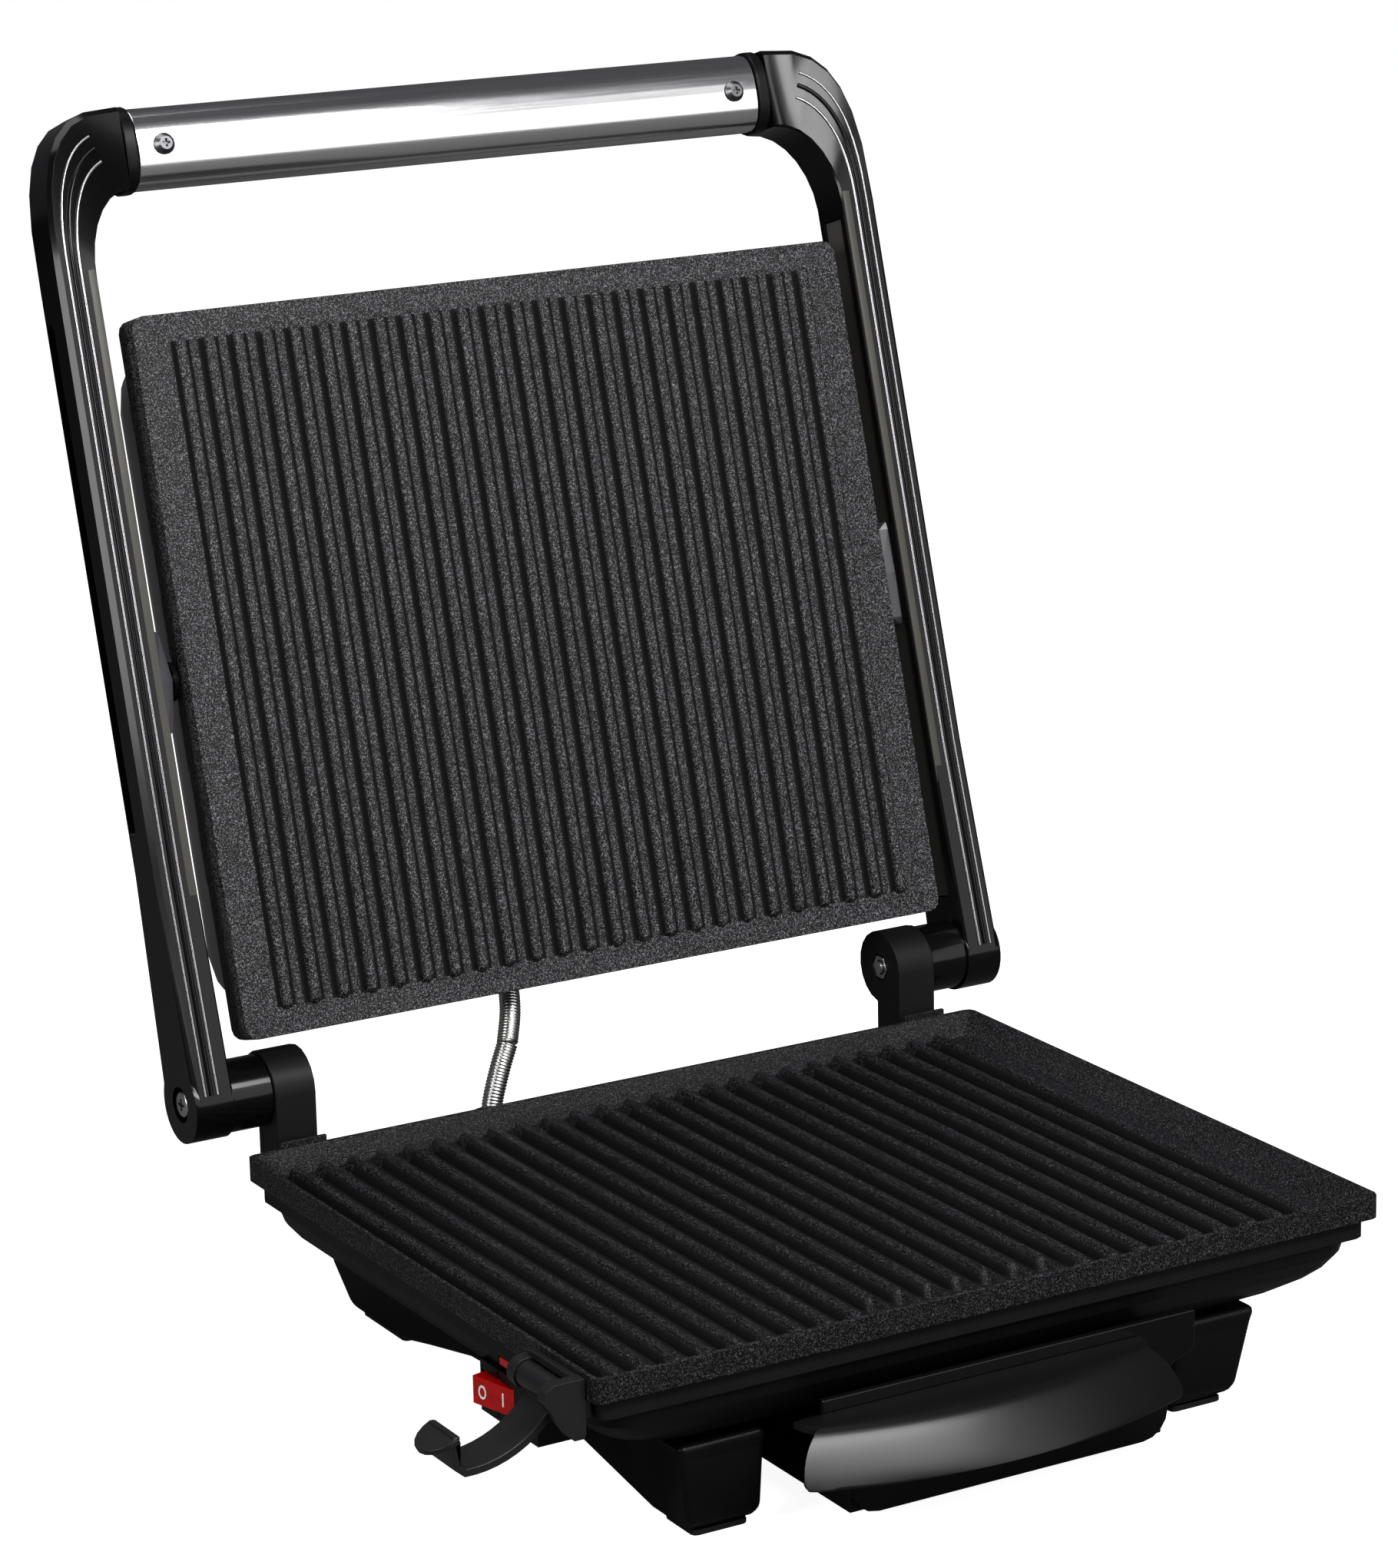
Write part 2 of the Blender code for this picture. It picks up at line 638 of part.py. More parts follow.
def rear_bridge():
    """The hollow beam behind the tub that carries the hinge brackets and the mains inlet."""
    half = BRIDGE_WIDTH / 2
    ear = BRACKET_OUTER_X + 0.0012
    ear_bottom = BRIDGE_TOP - EAR_HEIGHT
    bottom = LEG_TOP
    gusset = ear_bottom - EAR_GUSSET
    outline = [(-half, bottom + FIT), (half, bottom + FIT), (half, gusset), (ear, ear_bottom)]
    outline += [(ear, BRIDGE_TOP), (-ear, BRIDGE_TOP), (-ear, ear_bottom), (-half, gusset)]
    beam = flat_outline("rear_bridge", outline, BRIDGE_FRONT, BRIDGE_BACK, "Y", BLACK_PLASTIC, BASE)
    wall = BRIDGE_WALL
    inside = block(
        "rear_bridge_inside",
        (-half + wall, BRIDGE_FRONT + wall, bottom + wall),
        (half - wall, BRIDGE_BACK - wall, BRIDGE_TOP - wall),
        None,
        BASE,
    )
    window = block(
        "rear_bridge_window",
        (-0.050, BRIDGE_FRONT - 0.002, bottom + wall + 0.003),
        (0.050, BRIDGE_FRONT + wall + 0.002, BRIDGE_TOP - wall - 0.008),
        None,
        BASE,
    )
    conduit_hole = rod(
        "rear_bridge_conduit_hole",
        GLAND_RADIUS - 0.0012 + FIT,
        BRIDGE_TOP - 0.008,
        BRIDGE_TOP + 0.002,
        "Z",
        (CONDUIT_X, CONDUIT_Y),
        None,
        BASE,
        20,
    )
    inlet_hole = rod(
        "rear_bridge_inlet_hole",
        INLET_BORE + 0.0018 + FIT,
        BRIDGE_BACK - 0.008,
        BRIDGE_BACK + 0.002,
        "Y",
        (INLET_X, INLET_Z),
        None,
        BASE,
        20,
    )
    for tool in (inside, window, conduit_hole, inlet_hole):
        cut(beam, tool)
    return beam


def turned(name, profile, axis, location, material, parent, steps=20):
    """A closed profile of (radius, height) points spun into a ring about one axis."""
    bm = bmesh.new()
    verts = [bm.verts.new((r, 0, h)) for r, h in profile]
    for first, second in zip(verts, verts[1:] + verts[:1]):
        bm.edges.new((first, second))
    mesh = bpy.data.meshes.new(name)
    bm.to_mesh(mesh)
    bm.free()
    turn = {"X": (0, pi / 2, 0), "Y": (-pi / 2, 0, 0), "Z": (0, 0, 0)}[axis]
    obj = place(name, mesh, material, parent, location, turn)
    screw = obj.modifiers.new("turn", "SCREW")
    screw.steps = steps
    screw.render_steps = steps
    screw.use_normal_calculate = True
    screw.use_merge_vertices = True
    screw.merge_threshold = 0.00001
    return obj


def gland(name, bore, seat, wall, flange, axis, location, parent):
    """A flanged ring pushed through a wall of the given thickness."""
    profile = [(bore, 0.0026), (flange, 0.0018), (flange, FIT), (seat, FIT)]
    profile += [(seat, -wall - 0.0015), (bore, -wall - 0.0015)]
    return turned(name, profile, axis, location, BLACK_PLASTIC, parent)


# ---------------------------------------------------------------- hinge
def hinge_bracket(side):
    """The post that carries one hinge bolt: round at the top, with a hexagonal nut recess."""
    name = "hinge_bracket_left" if side < 0 else "hinge_bracket_right"
    front = HINGE_Y - BRACKET_RADIUS
    back = front + BRACKET_POST
    foot = BRIDGE_TOP + FIT
    back_angle = -degrees(acos((back - HINGE_Y) / BRACKET_RADIUS))
    outline = [(front, foot)] + arc((HINGE_Y, HINGE_Z), BRACKET_RADIUS, 180, back_angle, 14)
    outline.append((back, foot))
    low, high = sorted((side * BRACKET_INNER_X, side * BRACKET_OUTER_X))
    bracket = flat_outline(name, outline, low, high, "X", BLACK_PLASTIC, BASE)
    bore = hinge_rod(
        f"{name}_bore", side, BOLT_RADIUS + RUN, BRACKET_INNER_X - 0.002, BRACKET_OUTER_X + 0.002
    )
    recess = hinge_rod(
        f"{name}_recess",
        side,
        NUT_RADIUS + 0.0008,
        BRACKET_INNER_X - 0.002,
        BRACKET_INNER_X + NUT_HEIGHT,
        sides=6,
    )
    return cut(cut(bracket, bore), recess)


def hinge_rod(name, side, radius, start, end, material=None, sides=20, parent=None):
    low, high = sorted((side * start, side * end))
    if parent is LID:
        return rod(name, radius, low, high, "X", (0, 0), material, LID, sides)
    return rod(name, radius, low, high, "X", (HINGE_Y, HINGE_Z), material, BASE, sides)


def hinge_bolt(side):
    """The pivot bolt: a domed head in the arm's recess and a shank that ends in the nut."""
    name = "hinge_bolt_left" if side < 0 else "hinge_bolt_right"
    head_seat = HEAD_RECESS_X + FIT
    shank = hinge_rod(name, side, BOLT_RADIUS, BRACKET_INNER_X - 0.0008, head_seat + 0.001, ZINC, sides=16)
    low, high = sorted((side * head_seat, side * (head_seat + BOLT_HEAD)))
    radii = (BOLT_HEAD_RADIUS, BOLT_HEAD_RADIUS * 0.72)
    if side < 0:
        radii = radii[::-1]
    head = rod(
        f"{name}_head", radii[0], low, high, "X", (HINGE_Y, HINGE_Z), None, BASE, 20, end_radius=radii[1]
    )
    join(shank, head)
    for turn in (0, 1):
        size = (0.0009, 0.0030) if turn else (0.0030, 0.0009)
        outer = side * (head_seat + BOLT_HEAD + 0.001)
        inner = side * (head_seat + BOLT_HEAD - 0.0016)
        low, high = sorted((outer, inner))
        slot = block(
            f"{name}_slot_{turn}",
            (low, HINGE_Y - size[0] / 2, HINGE_Z - size[1] / 2),
            (high, HINGE_Y + size[0] / 2, HINGE_Z + size[1] / 2),
            None,
            BASE,
        )
        cut(shank, slot)
    return shank


def hinge_nut(side):
    name = "hinge_nut_left" if side < 0 else "hinge_nut_right"
    nut = hinge_rod(
        name, side, NUT_RADIUS, BRACKET_INNER_X + 0.0002, BRACKET_INNER_X + NUT_HEIGHT - FIT, ZINC, sides=6
    )
    bore = hinge_rod(
        f"{name}_bore", side, BOLT_RADIUS + FIT, BRACKET_INNER_X - 0.002, BRACKET_INNER_X + NUT_HEIGHT + 0.002
    )
    return cut(nut, bore)


# ---------------------------------------------------------------- arms and handle
def arm_section(outer, inner, front, back):
    """Eight points of the arm's cross-section, with its corners cut off."""
    (xo, so), (xi, si) = outer, inner
    length = sqrt((xo - xi) ** 2 + (so - si) ** 2)
    ux, us = (xo - xi) / length, (so - si) / length
    c = 0.0019
    d = 0.0008
    return [
        (xo, front + c, so),
        (xo, back - c, so),
        (xo - ux * c, back, so - us * c),
        (xi + ux * d, back, si + us * d),
        (xi, back - d, si),
        (xi, front + d, si),
        (xi + ux * d, front, si + us * d),
        (xo - ux * c, front, so - us * c),
    ]


def arm(side):
    """One arm: a straight bar with an elbow to the handle and a round boss at the hinge."""
    name = "arm_left" if side < 0 else "arm_right"
    end_x = HANDLE_HALF + COLLAR_WIDTH + FIT
    sections = []
    for s, flare in ((0.0, 1.0), (ARM_FLARE, 0.0), (ELBOW_START, 0.0)):
        sections.append(((ARM_OUTER_X, s), (ARM_INNER_X, s), 0.0, flare))
    reach_out = ARM_OUTER_X - end_x
    reach_in = ARM_INNER_X - end_x
    rise_out = HANDLE_S + HANDLE_HEIGHT / 2 - ELBOW_START
    rise_in = HANDLE_S - HANDLE_HEIGHT / 2 - ELBOW_START
    for turn in range(12, 91, 13):
        t = radians(turn)
        across = reach_out * cos(t) ** (2 / ELBOW_SQUARENESS)
        along = rise_out * sin(t) ** (2 / ELBOW_SQUARENESS)
        outer = (end_x + across, ELBOW_START + along)
        inner = (end_x + reach_in * cos(t), ELBOW_START + rise_in * sin(t))
        sections.append((outer, inner, (turn / 90) ** 1.3, 0.0))
    rings = []
    for outer, inner, share, flare in sections:
        front = ARM_FRONT + (HANDLE_N - HANDLE_DEPTH / 2 - ARM_FRONT) * share
        back = ARM_BACK + (HANDLE_N + HANDLE_DEPTH / 2 - ARM_BACK) * share
        front -= (ARM_FRONT + ARM_END_RADIUS) * flare
        back += (ARM_END_RADIUS - ARM_BACK) * flare
        rings.append(arm_section(outer, inner, front, back))
    last = rings[-1]
    rings[-1] = [(end_x, n, s) for x, n, s in last]
    bar = loft(name, [[(side * x, n, s) for x, n, s in ring] for ring in rings], GLOSS_BLACK, LID)
    foot = hinge_rod(f"{name}_foot", side, ARM_END_RADIUS, ARM_INNER_X, ARM_OUTER_X, sides=32, parent=LID)
    boss = hinge_rod(
        f"{name}_boss", side, BOSS_RADIUS, BRACKET_OUTER_X + RUN, ARM_INNER_X + 0.002, sides=32, parent=LID
    )
    join(bar, foot)
    join(bar, boss)
    bore = hinge_rod(
        f"{name}_bore", side, BOLT_RADIUS + RUN, BRACKET_OUTER_X - 0.001, ARM_OUTER_X + 0.001, parent=LID
    )
    recess = hinge_rod(
        f"{name}_recess", side, BOLT_HEAD_RADIUS + 0.0022, HEAD_RECESS_X, ARM_OUTER_X + 0.001, parent=LID
    )
    cut(bar, bore)
    cut(bar, recess)
    half = GROOVE_WIDTH / 2
    centre_n = (ARM_FRONT + ARM_BACK) / 2 + 0.0045
    outline = arc((centre_n, GROOVE_END - half), half, 0, 180, 6)
    outline += arc((centre_n, GROOVE_START + half), half, 180, 360, 6)
    low, high = sorted((side * (ARM_OUTER_X - GROOVE_DEPTH), side * (ARM_OUTER_X + 0.002)))
    groove = flat_outline(f"{name}_groove", outline, low, high, "X", None, LID)
    cut(bar, groove)
    low, high = sorted((side * (ARM_INNER_X - 0.002), side * (ARM_INNER_X + STRIP_THICK + 2 * FIT)))
    channel = block(
        f"{name}_channel",
        (low, STRIP_N - STRIP_WIDTH / 2 - FIT, STRIP_START - FIT),
        (high, STRIP_N + STRIP_WIDTH / 2 + FIT, STRIP_END + FIT),
        None,
        LID,
    )
    cut(bar, channel)
    pin_hole = rod(
        f"{name}_pin_hole",
        TILT_PIN_RADIUS + FIT,
        *sorted((side * (ARM_INNER_X - 0.002), side * (PIN_END_X + FIT))),
        "X",
        (TILT_N, TILT_S),
        None,
        LID,
        20,
    )
    return cut(bar, pin_hole)


def arm_strip(side):
    """The grey cover strip let into the inner side of an arm."""
    name = "arm_strip_left" if side < 0 else "arm_strip_right"
    low, high = sorted((side * (ARM_INNER_X + FIT), side * (ARM_INNER_X + FIT + STRIP_THICK)))
    strip = block(
        name,
        (low, STRIP_N - STRIP_WIDTH / 2, STRIP_START),
        (high, STRIP_N + STRIP_WIDTH / 2, STRIP_END),
        GREY_STRIP,
        LID,
    )
    hole = rod(
        f"{name}_hole",
        TILT_PIN_RADIUS + FIT,
        low - 0.002,
        high + 0.002,
        "X",
        (TILT_N, TILT_S),
        None,
        LID,
        20,
    )
    return cut(strip, hole)


def oval(half_height, half_depth, steps=28):
    """Points of the handle's flattened oval section, as (behind, up) about its middle."""
    points = []
    for i in range(steps):
        t = 2 * pi * i / steps
        c, s = cos(t), sin(t)
        u = half_depth * abs(c) ** 0.8 * (1 if c >= 0 else -1)
        v = half_height * abs(s) ** 0.8 * (1 if s >= 0 else -1)
        points.append((HANDLE_N + u, HANDLE_S + v))
    return points


def handle_tube():
    """The oval aluminium tube across the two arms."""
    tube = flat_outline(
        "handle_tube",
        oval(HANDLE_HEIGHT / 2, HANDLE_DEPTH / 2),
        -HANDLE_HALF,
        HANDLE_HALF,
        "X",
        ALUMINIUM,
        LID,
    )
    inner = oval(HANDLE_HEIGHT / 2 - HANDLE_WALL, HANDLE_DEPTH / 2 - HANDLE_WALL)
    reach = HANDLE_HALF + 0.001
    cut(tube, flat_outline("handle_tube_bore", inner, -reach, reach, "X", None, LID))
    for side in (-1, 1):
        hole = rod(
            f"handle_tube_screw_hole_{side}",
            SCREW_RADIUS + FIT,
            HANDLE_N - HANDLE_DEPTH,
            HANDLE_N,
            "Y",
            (side * SCREW_X, HANDLE_S),
            None,
            LID,
            16,
        )
        cut(tube, hole)
    return tube


def handle_collar(side):
    """The flanged plug between the tube's end and the arm."""
    name = "handle_collar_left" if side < 0 else "handle_collar_right"
    flange = oval(HANDLE_HEIGHT / 2 + COLLAR_PROUD, HANDLE_DEPTH / 2 + COLLAR_PROUD)
    low, high = sorted((side * (HANDLE_HALF + FIT), side * (HANDLE_HALF + COLLAR_WIDTH)))
    collar = flat_outline(name, flange, low, high, "X", BLACK_PLASTIC, LID)
    shrink = HANDLE_WALL + FIT
    plug = oval(HANDLE_HEIGHT / 2 - shrink, HANDLE_DEPTH / 2 - shrink)
    low, high = sorted((side * (HANDLE_HALF - SPIGOT), side * (HANDLE_HALF + FIT + 0.001)))
    join(collar, flat_outline(f"{name}_plug", plug, low, high, "X", None, LID))
    hole = rod(
        f"{name}_hole",
        SCREW_RADIUS + FIT,
        HANDLE_N - HANDLE_DEPTH,
        HANDLE_N + 0.002,
        "Y",
        (side * SCREW_X, HANDLE_S),
        None,
        LID,
        16,
    )
    return cut(collar, hole)


def handle_screw(side):
    """The cross-head screw that holds the tube on its plug."""
    name = "handle_screw_left" if side < 0 else "handle_screw_right"
    face = HANDLE_N - HANDLE_DEPTH / 2
    centre = (side * SCREW_X, HANDLE_S)
    screw = rod(name, SCREW_RADIUS, face - 0.001, HANDLE_N + 0.001, "Y", centre, ZINC, LID, 16)
    head = rod(
        f"{name}_head",
        SCREW_HEAD_RADIUS * 0.6,
        face - FIT - 0.0018,
        face - FIT,
        "Y",
        centre,
        None,
        LID,
        16,
        end_radius=SCREW_HEAD_RADIUS,
    )
    join(screw, head)
    for turn in (0, 1):
        size = (0.0008, 0.0028) if turn else (0.0028, 0.0008)
        slot = block(
            f"{name}_slot_{turn}",
            (centre[0] - size[0] / 2, face - 0.004, HANDLE_S - size[1] / 2),
            (centre[0] + size[0] / 2, face - FIT - 0.0006, HANDLE_S + size[1] / 2),
            None,
            LID,
        )
        cut(screw, slot)
    return screw


def pivot_block(side):
    """The faceted block on the arm that carries the head's tilt pin."""
    name = "pivot_block_left" if side < 0 else "pivot_block_right"
    outer = ARM_INNER_X - FIT
    rings = []
    for share, proud, front, back in (
        (-1.0, BLOCK_BULGE * 0.12, -0.0054, 0.0062),
        (-0.86, BLOCK_BULGE * 0.60, -0.0060, 0.0072),
        (0.0, BLOCK_BULGE, -0.0064, 0.0080),
        (0.86, BLOCK_BULGE * 0.60, -0.0060, 0.0072),
        (1.0, BLOCK_BULGE * 0.12, -0.0054, 0.0062),
    ):
        s = TILT_S + share * BLOCK_HALF
        x = side * (outer - proud)
        o = side * outer
        rings.append([(o, front, s), (x, front + 0.001, s), (x, back - 0.001, s), (o, back, s)])
    part = loft(name, rings, DARK_PLASTIC, LID)
    hole = rod(
        f"{name}_hole",
        TILT_PIN_RADIUS + FIT,
        *sorted((side * (outer - BLOCK_BULGE - 0.003), side * (outer + 0.002))),
        "X",
        (TILT_N, TILT_S),
        None,
        LID,
        20,
    )
    return cut(part, hole)


def tilt_pin(side):
    name = "tilt_pin_left" if side < 0 else "tilt_pin_right"
    start = PIVOT_DISC_X - TILT_PIN_GRIP
    low, high = sorted((side * start, side * PIN_END_X))
    return rod(name, TILT_PIN_RADIUS, low, high, "X", (TILT_N, TILT_S), STEEL, LID, 16)


# ---------------------------------------------------------------- head
def upper_plate():
    """The cast upper plate with its ribs towards the lower plate."""
    bottom = HEAD_START - TILT_S
    plate = flat_outline(
        "upper_plate",
        rounded_rectangle(-HEAD_WIDTH / 2, HEAD_WIDTH / 2, bottom, bottom + HEAD_LENGTH, 0.0045, 3),
        HEAD_FACE - TILT_N,
        HEAD_BACK - TILT_N,
        "Y",
        NON_STICK,
        HEAD,
    )
    for index in range(RIB_COUNT):
        tool = rib(
            f"upper_rib_{index:02d}",
            rib_x(index),
            bottom + UPPER_RIB_MARGIN,
            bottom + HEAD_LENGTH - UPPER_RIB_MARGIN,
            HEAD_FACE - TILT_N + 0.0008,
            HEAD_FACE - TILT_N - UPPER_RIB_HEIGHT,
            HEAD,
            upright=True,
        )
        join(plate, tool)
    return plate


def cover_rings(offset, start):
    """Levels of the domed cover, moved inwards by an offset, from its open edge backwards."""
    rings = []
    half_x = COVER_WIDTH / 2 - offset
    middle = HEAD_START + HEAD_LENGTH / 2 - TILT_S
    half_s = HEAD_LENGTH / 2 - COVER_MARGIN - offset
    depth = COVER_DEPTH - offset
    straight = 0.013
    levels = [(0.0, start), (0.0, straight)]
    for turn in (20, 42, 64, 90):
        level = straight + (depth - straight) * sin(radians(turn))
        levels.append((0.030 * (1 - cos(radians(turn))), level))
    for inset, level in levels:
        outline = rounded_rectangle(
            -half_x + inset,
            half_x - inset,
            middle - half_s + inset,
            middle + half_s - inset,
            0.024 - offset,
            4,
        )
        rings.append([(u, level - TILT_N, v) for u, v in outline])
    return rings


def upper_cover():
    """The domed housing behind the upper plate, with vent slots in both sides."""
    start = HEAD_BACK + FIT
    cover = loft("upper_cover", cover_rings(0, start), DARK_PLASTIC, HEAD)
    cut(cover, loft("upper_cover_hollow", cover_rings(COVER_WALL, start - 0.002), None, HEAD))
    middle = SLOT_MIDDLE - TILT_S
    for side in (-1, 1):
        low, high = sorted((side * (COVER_WIDTH / 2 - 0.010), side * (COVER_WIDTH / 2 + 0.010)))
        for index in range(SLOT_COUNT):
            s = middle + (index - (SLOT_COUNT - 1) / 2) * SLOT_PITCH
            slot = block(
                f"upper_cover_slot_{side}_{index}",
                (low, 0.0055 - TILT_N - SLOT_WIDTH / 2, s - SLOT_LENGTH / 2),
                (high, 0.0055 - TILT_N + SLOT_WIDTH / 2, s + SLOT_LENGTH / 2),
                None,
                HEAD,
            )
            cut(cover, slot)
    hole = rod(
        "upper_cover_conduit_hole",
        GLAND_RADIUS - 0.0012 + FIT,
        HEAD_START + COVER_MARGIN - 0.004 - TILT_S,
        HEAD_START + COVER_MARGIN + 0.006 - TILT_S,
        "Z",
        (CONDUIT_X + CONDUIT_SHIFT, CONDUIT_TOP_N - TILT_N),
        None,
        HEAD,
        20,
    )
    return cut(cover, hole)


def tilt_boss(side):
    """The round boss on the side of the head that the tilt pin enters."""
    name = "tilt_boss_left" if side < 0 else "tilt_boss_right"
    wall = COVER_WIDTH / 2 + FIT
    clear = HEAD_WIDTH / 2 + FIT
    low, high = sorted((side * clear, side * PIVOT_DISC_X))
    disc = rod(name, TILT_DISC_RADIUS, low, high, "X", (0, 0), BLACK_PLASTIC, HEAD, 28)
    low, high = sorted((side * wall, side * (clear + 0.001)))
    neck = block(
        f"{name}_neck",
        (low, HEAD_BACK + FIT - TILT_N, -0.0050),
        (high, 0.0062 - TILT_N, 0.0050),
        None,
        HEAD,
    )
    join(disc, neck)
    low, high = sorted((side * (PIVOT_DISC_X - TILT_PIN_GRIP - FIT), side * (PIVOT_DISC_X + 0.001)))
    bore = rod(f"{name}_bore", TILT_PIN_RADIUS + RUN, low, high, "X", (0, 0), None, HEAD, 20)
    return cut(disc, bore)


# ---------------------------------------------------------------- latch
def latch_bracket():
    """The lugged bracket on the left front corner, with a front wing and a bar over the barrel."""
    wall_x = -RIM_X - FIT
    front, back = LATCH_FRONT, LATCH_FRONT + LATCH_LENGTH
    wing = [(wall_x, -0.0012), (LATCH_X - 0.0062, -0.0012), (LATCH_X - 0.0090, -0.0030)]
    wing += [(LATCH_X - 0.0098, -0.0066), (LATCH_X - 0.0012, -0.0192)]
    wing += [(LATCH_X + 0.0005, -0.0208), (LATCH_X + 0.0040, -0.0208)]
    wing += [(wall_x, -0.0190)]
    part = flat_outline("latch_bracket", wing, front, front + LATCH_WING, "Y", BLACK_PLASTIC, BASE)
    root_x = -RIM_X + SURROUND_INSET - 0.0006
    lug = [(root_x, -0.0150), (root_x, -0.0088), (wall_x, -0.0088), (wall_x, -0.0030)]
    lug += arc((LATCH_X, LATCH_Z), LATCH_BARREL + 0.0006, 90, 270, 8)
    lug += [(LATCH_X + 0.002, -0.0150)]
    join(part, flat_outline("latch_bracket_lug", lug, back - LATCH_WING, back, "Y", None, BASE))
    front_in, back_in = front + 0.002, back - 0.002
    for name, low, high in (
        ("bar", (LATCH_X + 0.0020, front_in, -0.0036), (wall_x, back_in, -0.0014)),
        ("wall", (wall_x + 0.0002, front_in, -0.0150), (root_x, back_in, -0.0088)),
        ("foot", (LATCH_X + 0.0015, front_in, -0.0148), (root_x, front + LATCH_WING - 0.0005, -0.0088)),
    ):
        join(part, block(f"latch_bracket_{name}", low, high, None, BASE))
    bore = rod(
        "latch_bracket_bore",
        LATCH_PIN + FIT,
        front + 0.0016,
        back + 0.001,
        "Y",
        (LATCH_X, LATCH_Z),
        None,
        BASE,
        12,
    )
    return cut(part, bore)


def latch_pin():
    return rod(
        "latch_pin",
        LATCH_PIN,
        LATCH_FRONT + 0.0016 + FIT,
        LATCH_FRONT + LATCH_LENGTH - 0.0005,
        "Y",
        (0, 0),
        STEEL,
        LATCH,
        12,
    )


def latch_hook():
    """The curved hook that swings up over the closed arm, with a thumb tab on its lip."""
    outer = HOOK_CURVE
    inner = HOOK_CURVE - HOOK_THICK - 0.0004
    start = acos((HOOK_REACH - 0.0029) / outer)
    centre = (-HOOK_REACH + 0.0033, outer * sin(start) - 0.0046)
    lip_out = -HOOK_REACH - HOOK_THICK
    lip_top = -0.0066
    outline = arc(centre, outer, -degrees(start), -93, 10)
    outline += [(lip_out, centre[1] - outer + 0.0030), (lip_out, lip_top), (-HOOK_REACH, lip_top)]
    outline += [(-HOOK_REACH, centre[1] - inner + 0.0012)] + arc(centre, inner, -92, -degrees(start), 10)
    middle = LATCH_FRONT + LATCH_LENGTH / 2 + 0.0010
    low, high = middle - HOOK_WIDTH / 2, middle + HOOK_WIDTH / 2
    hook = flat_outline("latch_hook", outline, low, high, "Y", BLACK_PLASTIC, LATCH)
    barrel = rod(
        "latch_hook_barrel",
        LATCH_BARREL,
        LATCH_FRONT + LATCH_WING + FIT,
        LATCH_FRONT + LATCH_LENGTH - LATCH_WING - FIT,
        "Y",
        (0, 0),
        None,
        LATCH,
        20,
    )
    join(hook, barrel)
    tab_points = [(TAB_HALF * cos(t), TAB_REACH * sin(t)) for t in [pi * i / 10 for i in range(11)]]
    tab = flat_outline(
        "latch_hook_tab",
        [(-v, u) for u, v in tab_points],
        -0.0009,
        0.0009,
        "Z",
        None,
        LATCH,
        (-HOOK_REACH - 0.0006, middle, lip_top - 0.0010),
    )
    tab.rotation_euler = (0, -radians(23.6), 0)
    join(hook, tab)
    bore = rod("latch_hook_bore", LATCH_PIN + FIT, -PLATE_DEPTH, 0.0, "Y", (0, 0), None, LATCH, 12)
    return cut(hook, bore)


# ---------------------------------------------------------------- switch
def switch_housing():
    """The box in the side of the tub that holds the rocker switch."""
    low = (SWITCH_X, SWITCH_BOX_FRONT, SWITCH_BOX_BOTTOM)
    high = (SWITCH_BOX_INNER_X, SWITCH_BOX_REAR, SWITCH_BOX_TOP)
    box = block("switch_housing", low, high, BLACK_PLASTIC, BASE)
    wall = SWITCH_BOX_WALL
    sweep = sqrt((ROCKER_LENGTH / 2) ** 2 + ROCKER_DEPTH**2) + RUN
    cavity = block(
        "switch_housing_cavity",
        (SWITCH_X + 0.0018, SWITCH_BOX_FRONT + wall, SWITCH_BOX_BOTTOM + wall),
        (SWITCH_BOX_INNER_X + 0.001, SWITCH_Y + sweep, SWITCH_BOX_TOP - wall),
        None,
        BASE,
    )
    window = block(
        "switch_housing_window",
        (SWITCH_X - 0.001, SWITCH_Y - sweep, SWITCH_Z - ROCKER_HEIGHT / 2 - FIT),
        (SWITCH_X + 0.003, SWITCH_Y + sweep - 0.0001, SWITCH_Z + ROCKER_HEIGHT / 2 + FIT),
        None,
        BASE,
    )
    bore = rod(
        "switch_housing_bore",
        ROCKER_PIN + FIT,
        SWITCH_Z - ROCKER_PIN_REACH - FIT,
        SWITCH_Z + ROCKER_PIN_REACH + FIT,
        "Z",
        (SWITCH_X + ROCKER_INSET, SWITCH_Y),
        None,
        BASE,
        12,
    )
    for tool in (cavity, window, bore):
        cut(box, tool)
    return box


def switch_rocker():
    """The rocker: a flat face over a half-round back, with a stub pin at each end of its axis."""
    half = ROCKER_LENGTH / 2
    outline = [(-ROCKER_DEPTH, half), (-ROCKER_DEPTH, -half)] + arc((0, 0), half, -90, 90, 10)
    rocker = flat_outline("switch_rocker", outline, -ROCKER_HEIGHT / 2, ROCKER_HEIGHT / 2, "Z", RED, ROCKER)
    rocker.rotation_euler = (0, 0, ROCKER_TILT)
    pins = rod(
        "switch_rocker_pins", ROCKER_PIN, -ROCKER_PIN_REACH, ROCKER_PIN_REACH, "Z", (0, 0), None, ROCKER, 12
    )
    return join(rocker, pins)


def pilot_lens():
    return block(
        "pilot_lens",
        (LENS_OUTER_X, LENS_Y - LENS_LENGTH / 2, LENS_Z - LENS_HEIGHT / 2),
        (LENS_OUTER_X + 0.0080, LENS_Y + LENS_LENGTH / 2, LENS_Z + LENS_HEIGHT / 2),
        RED,
        BASE,
    )


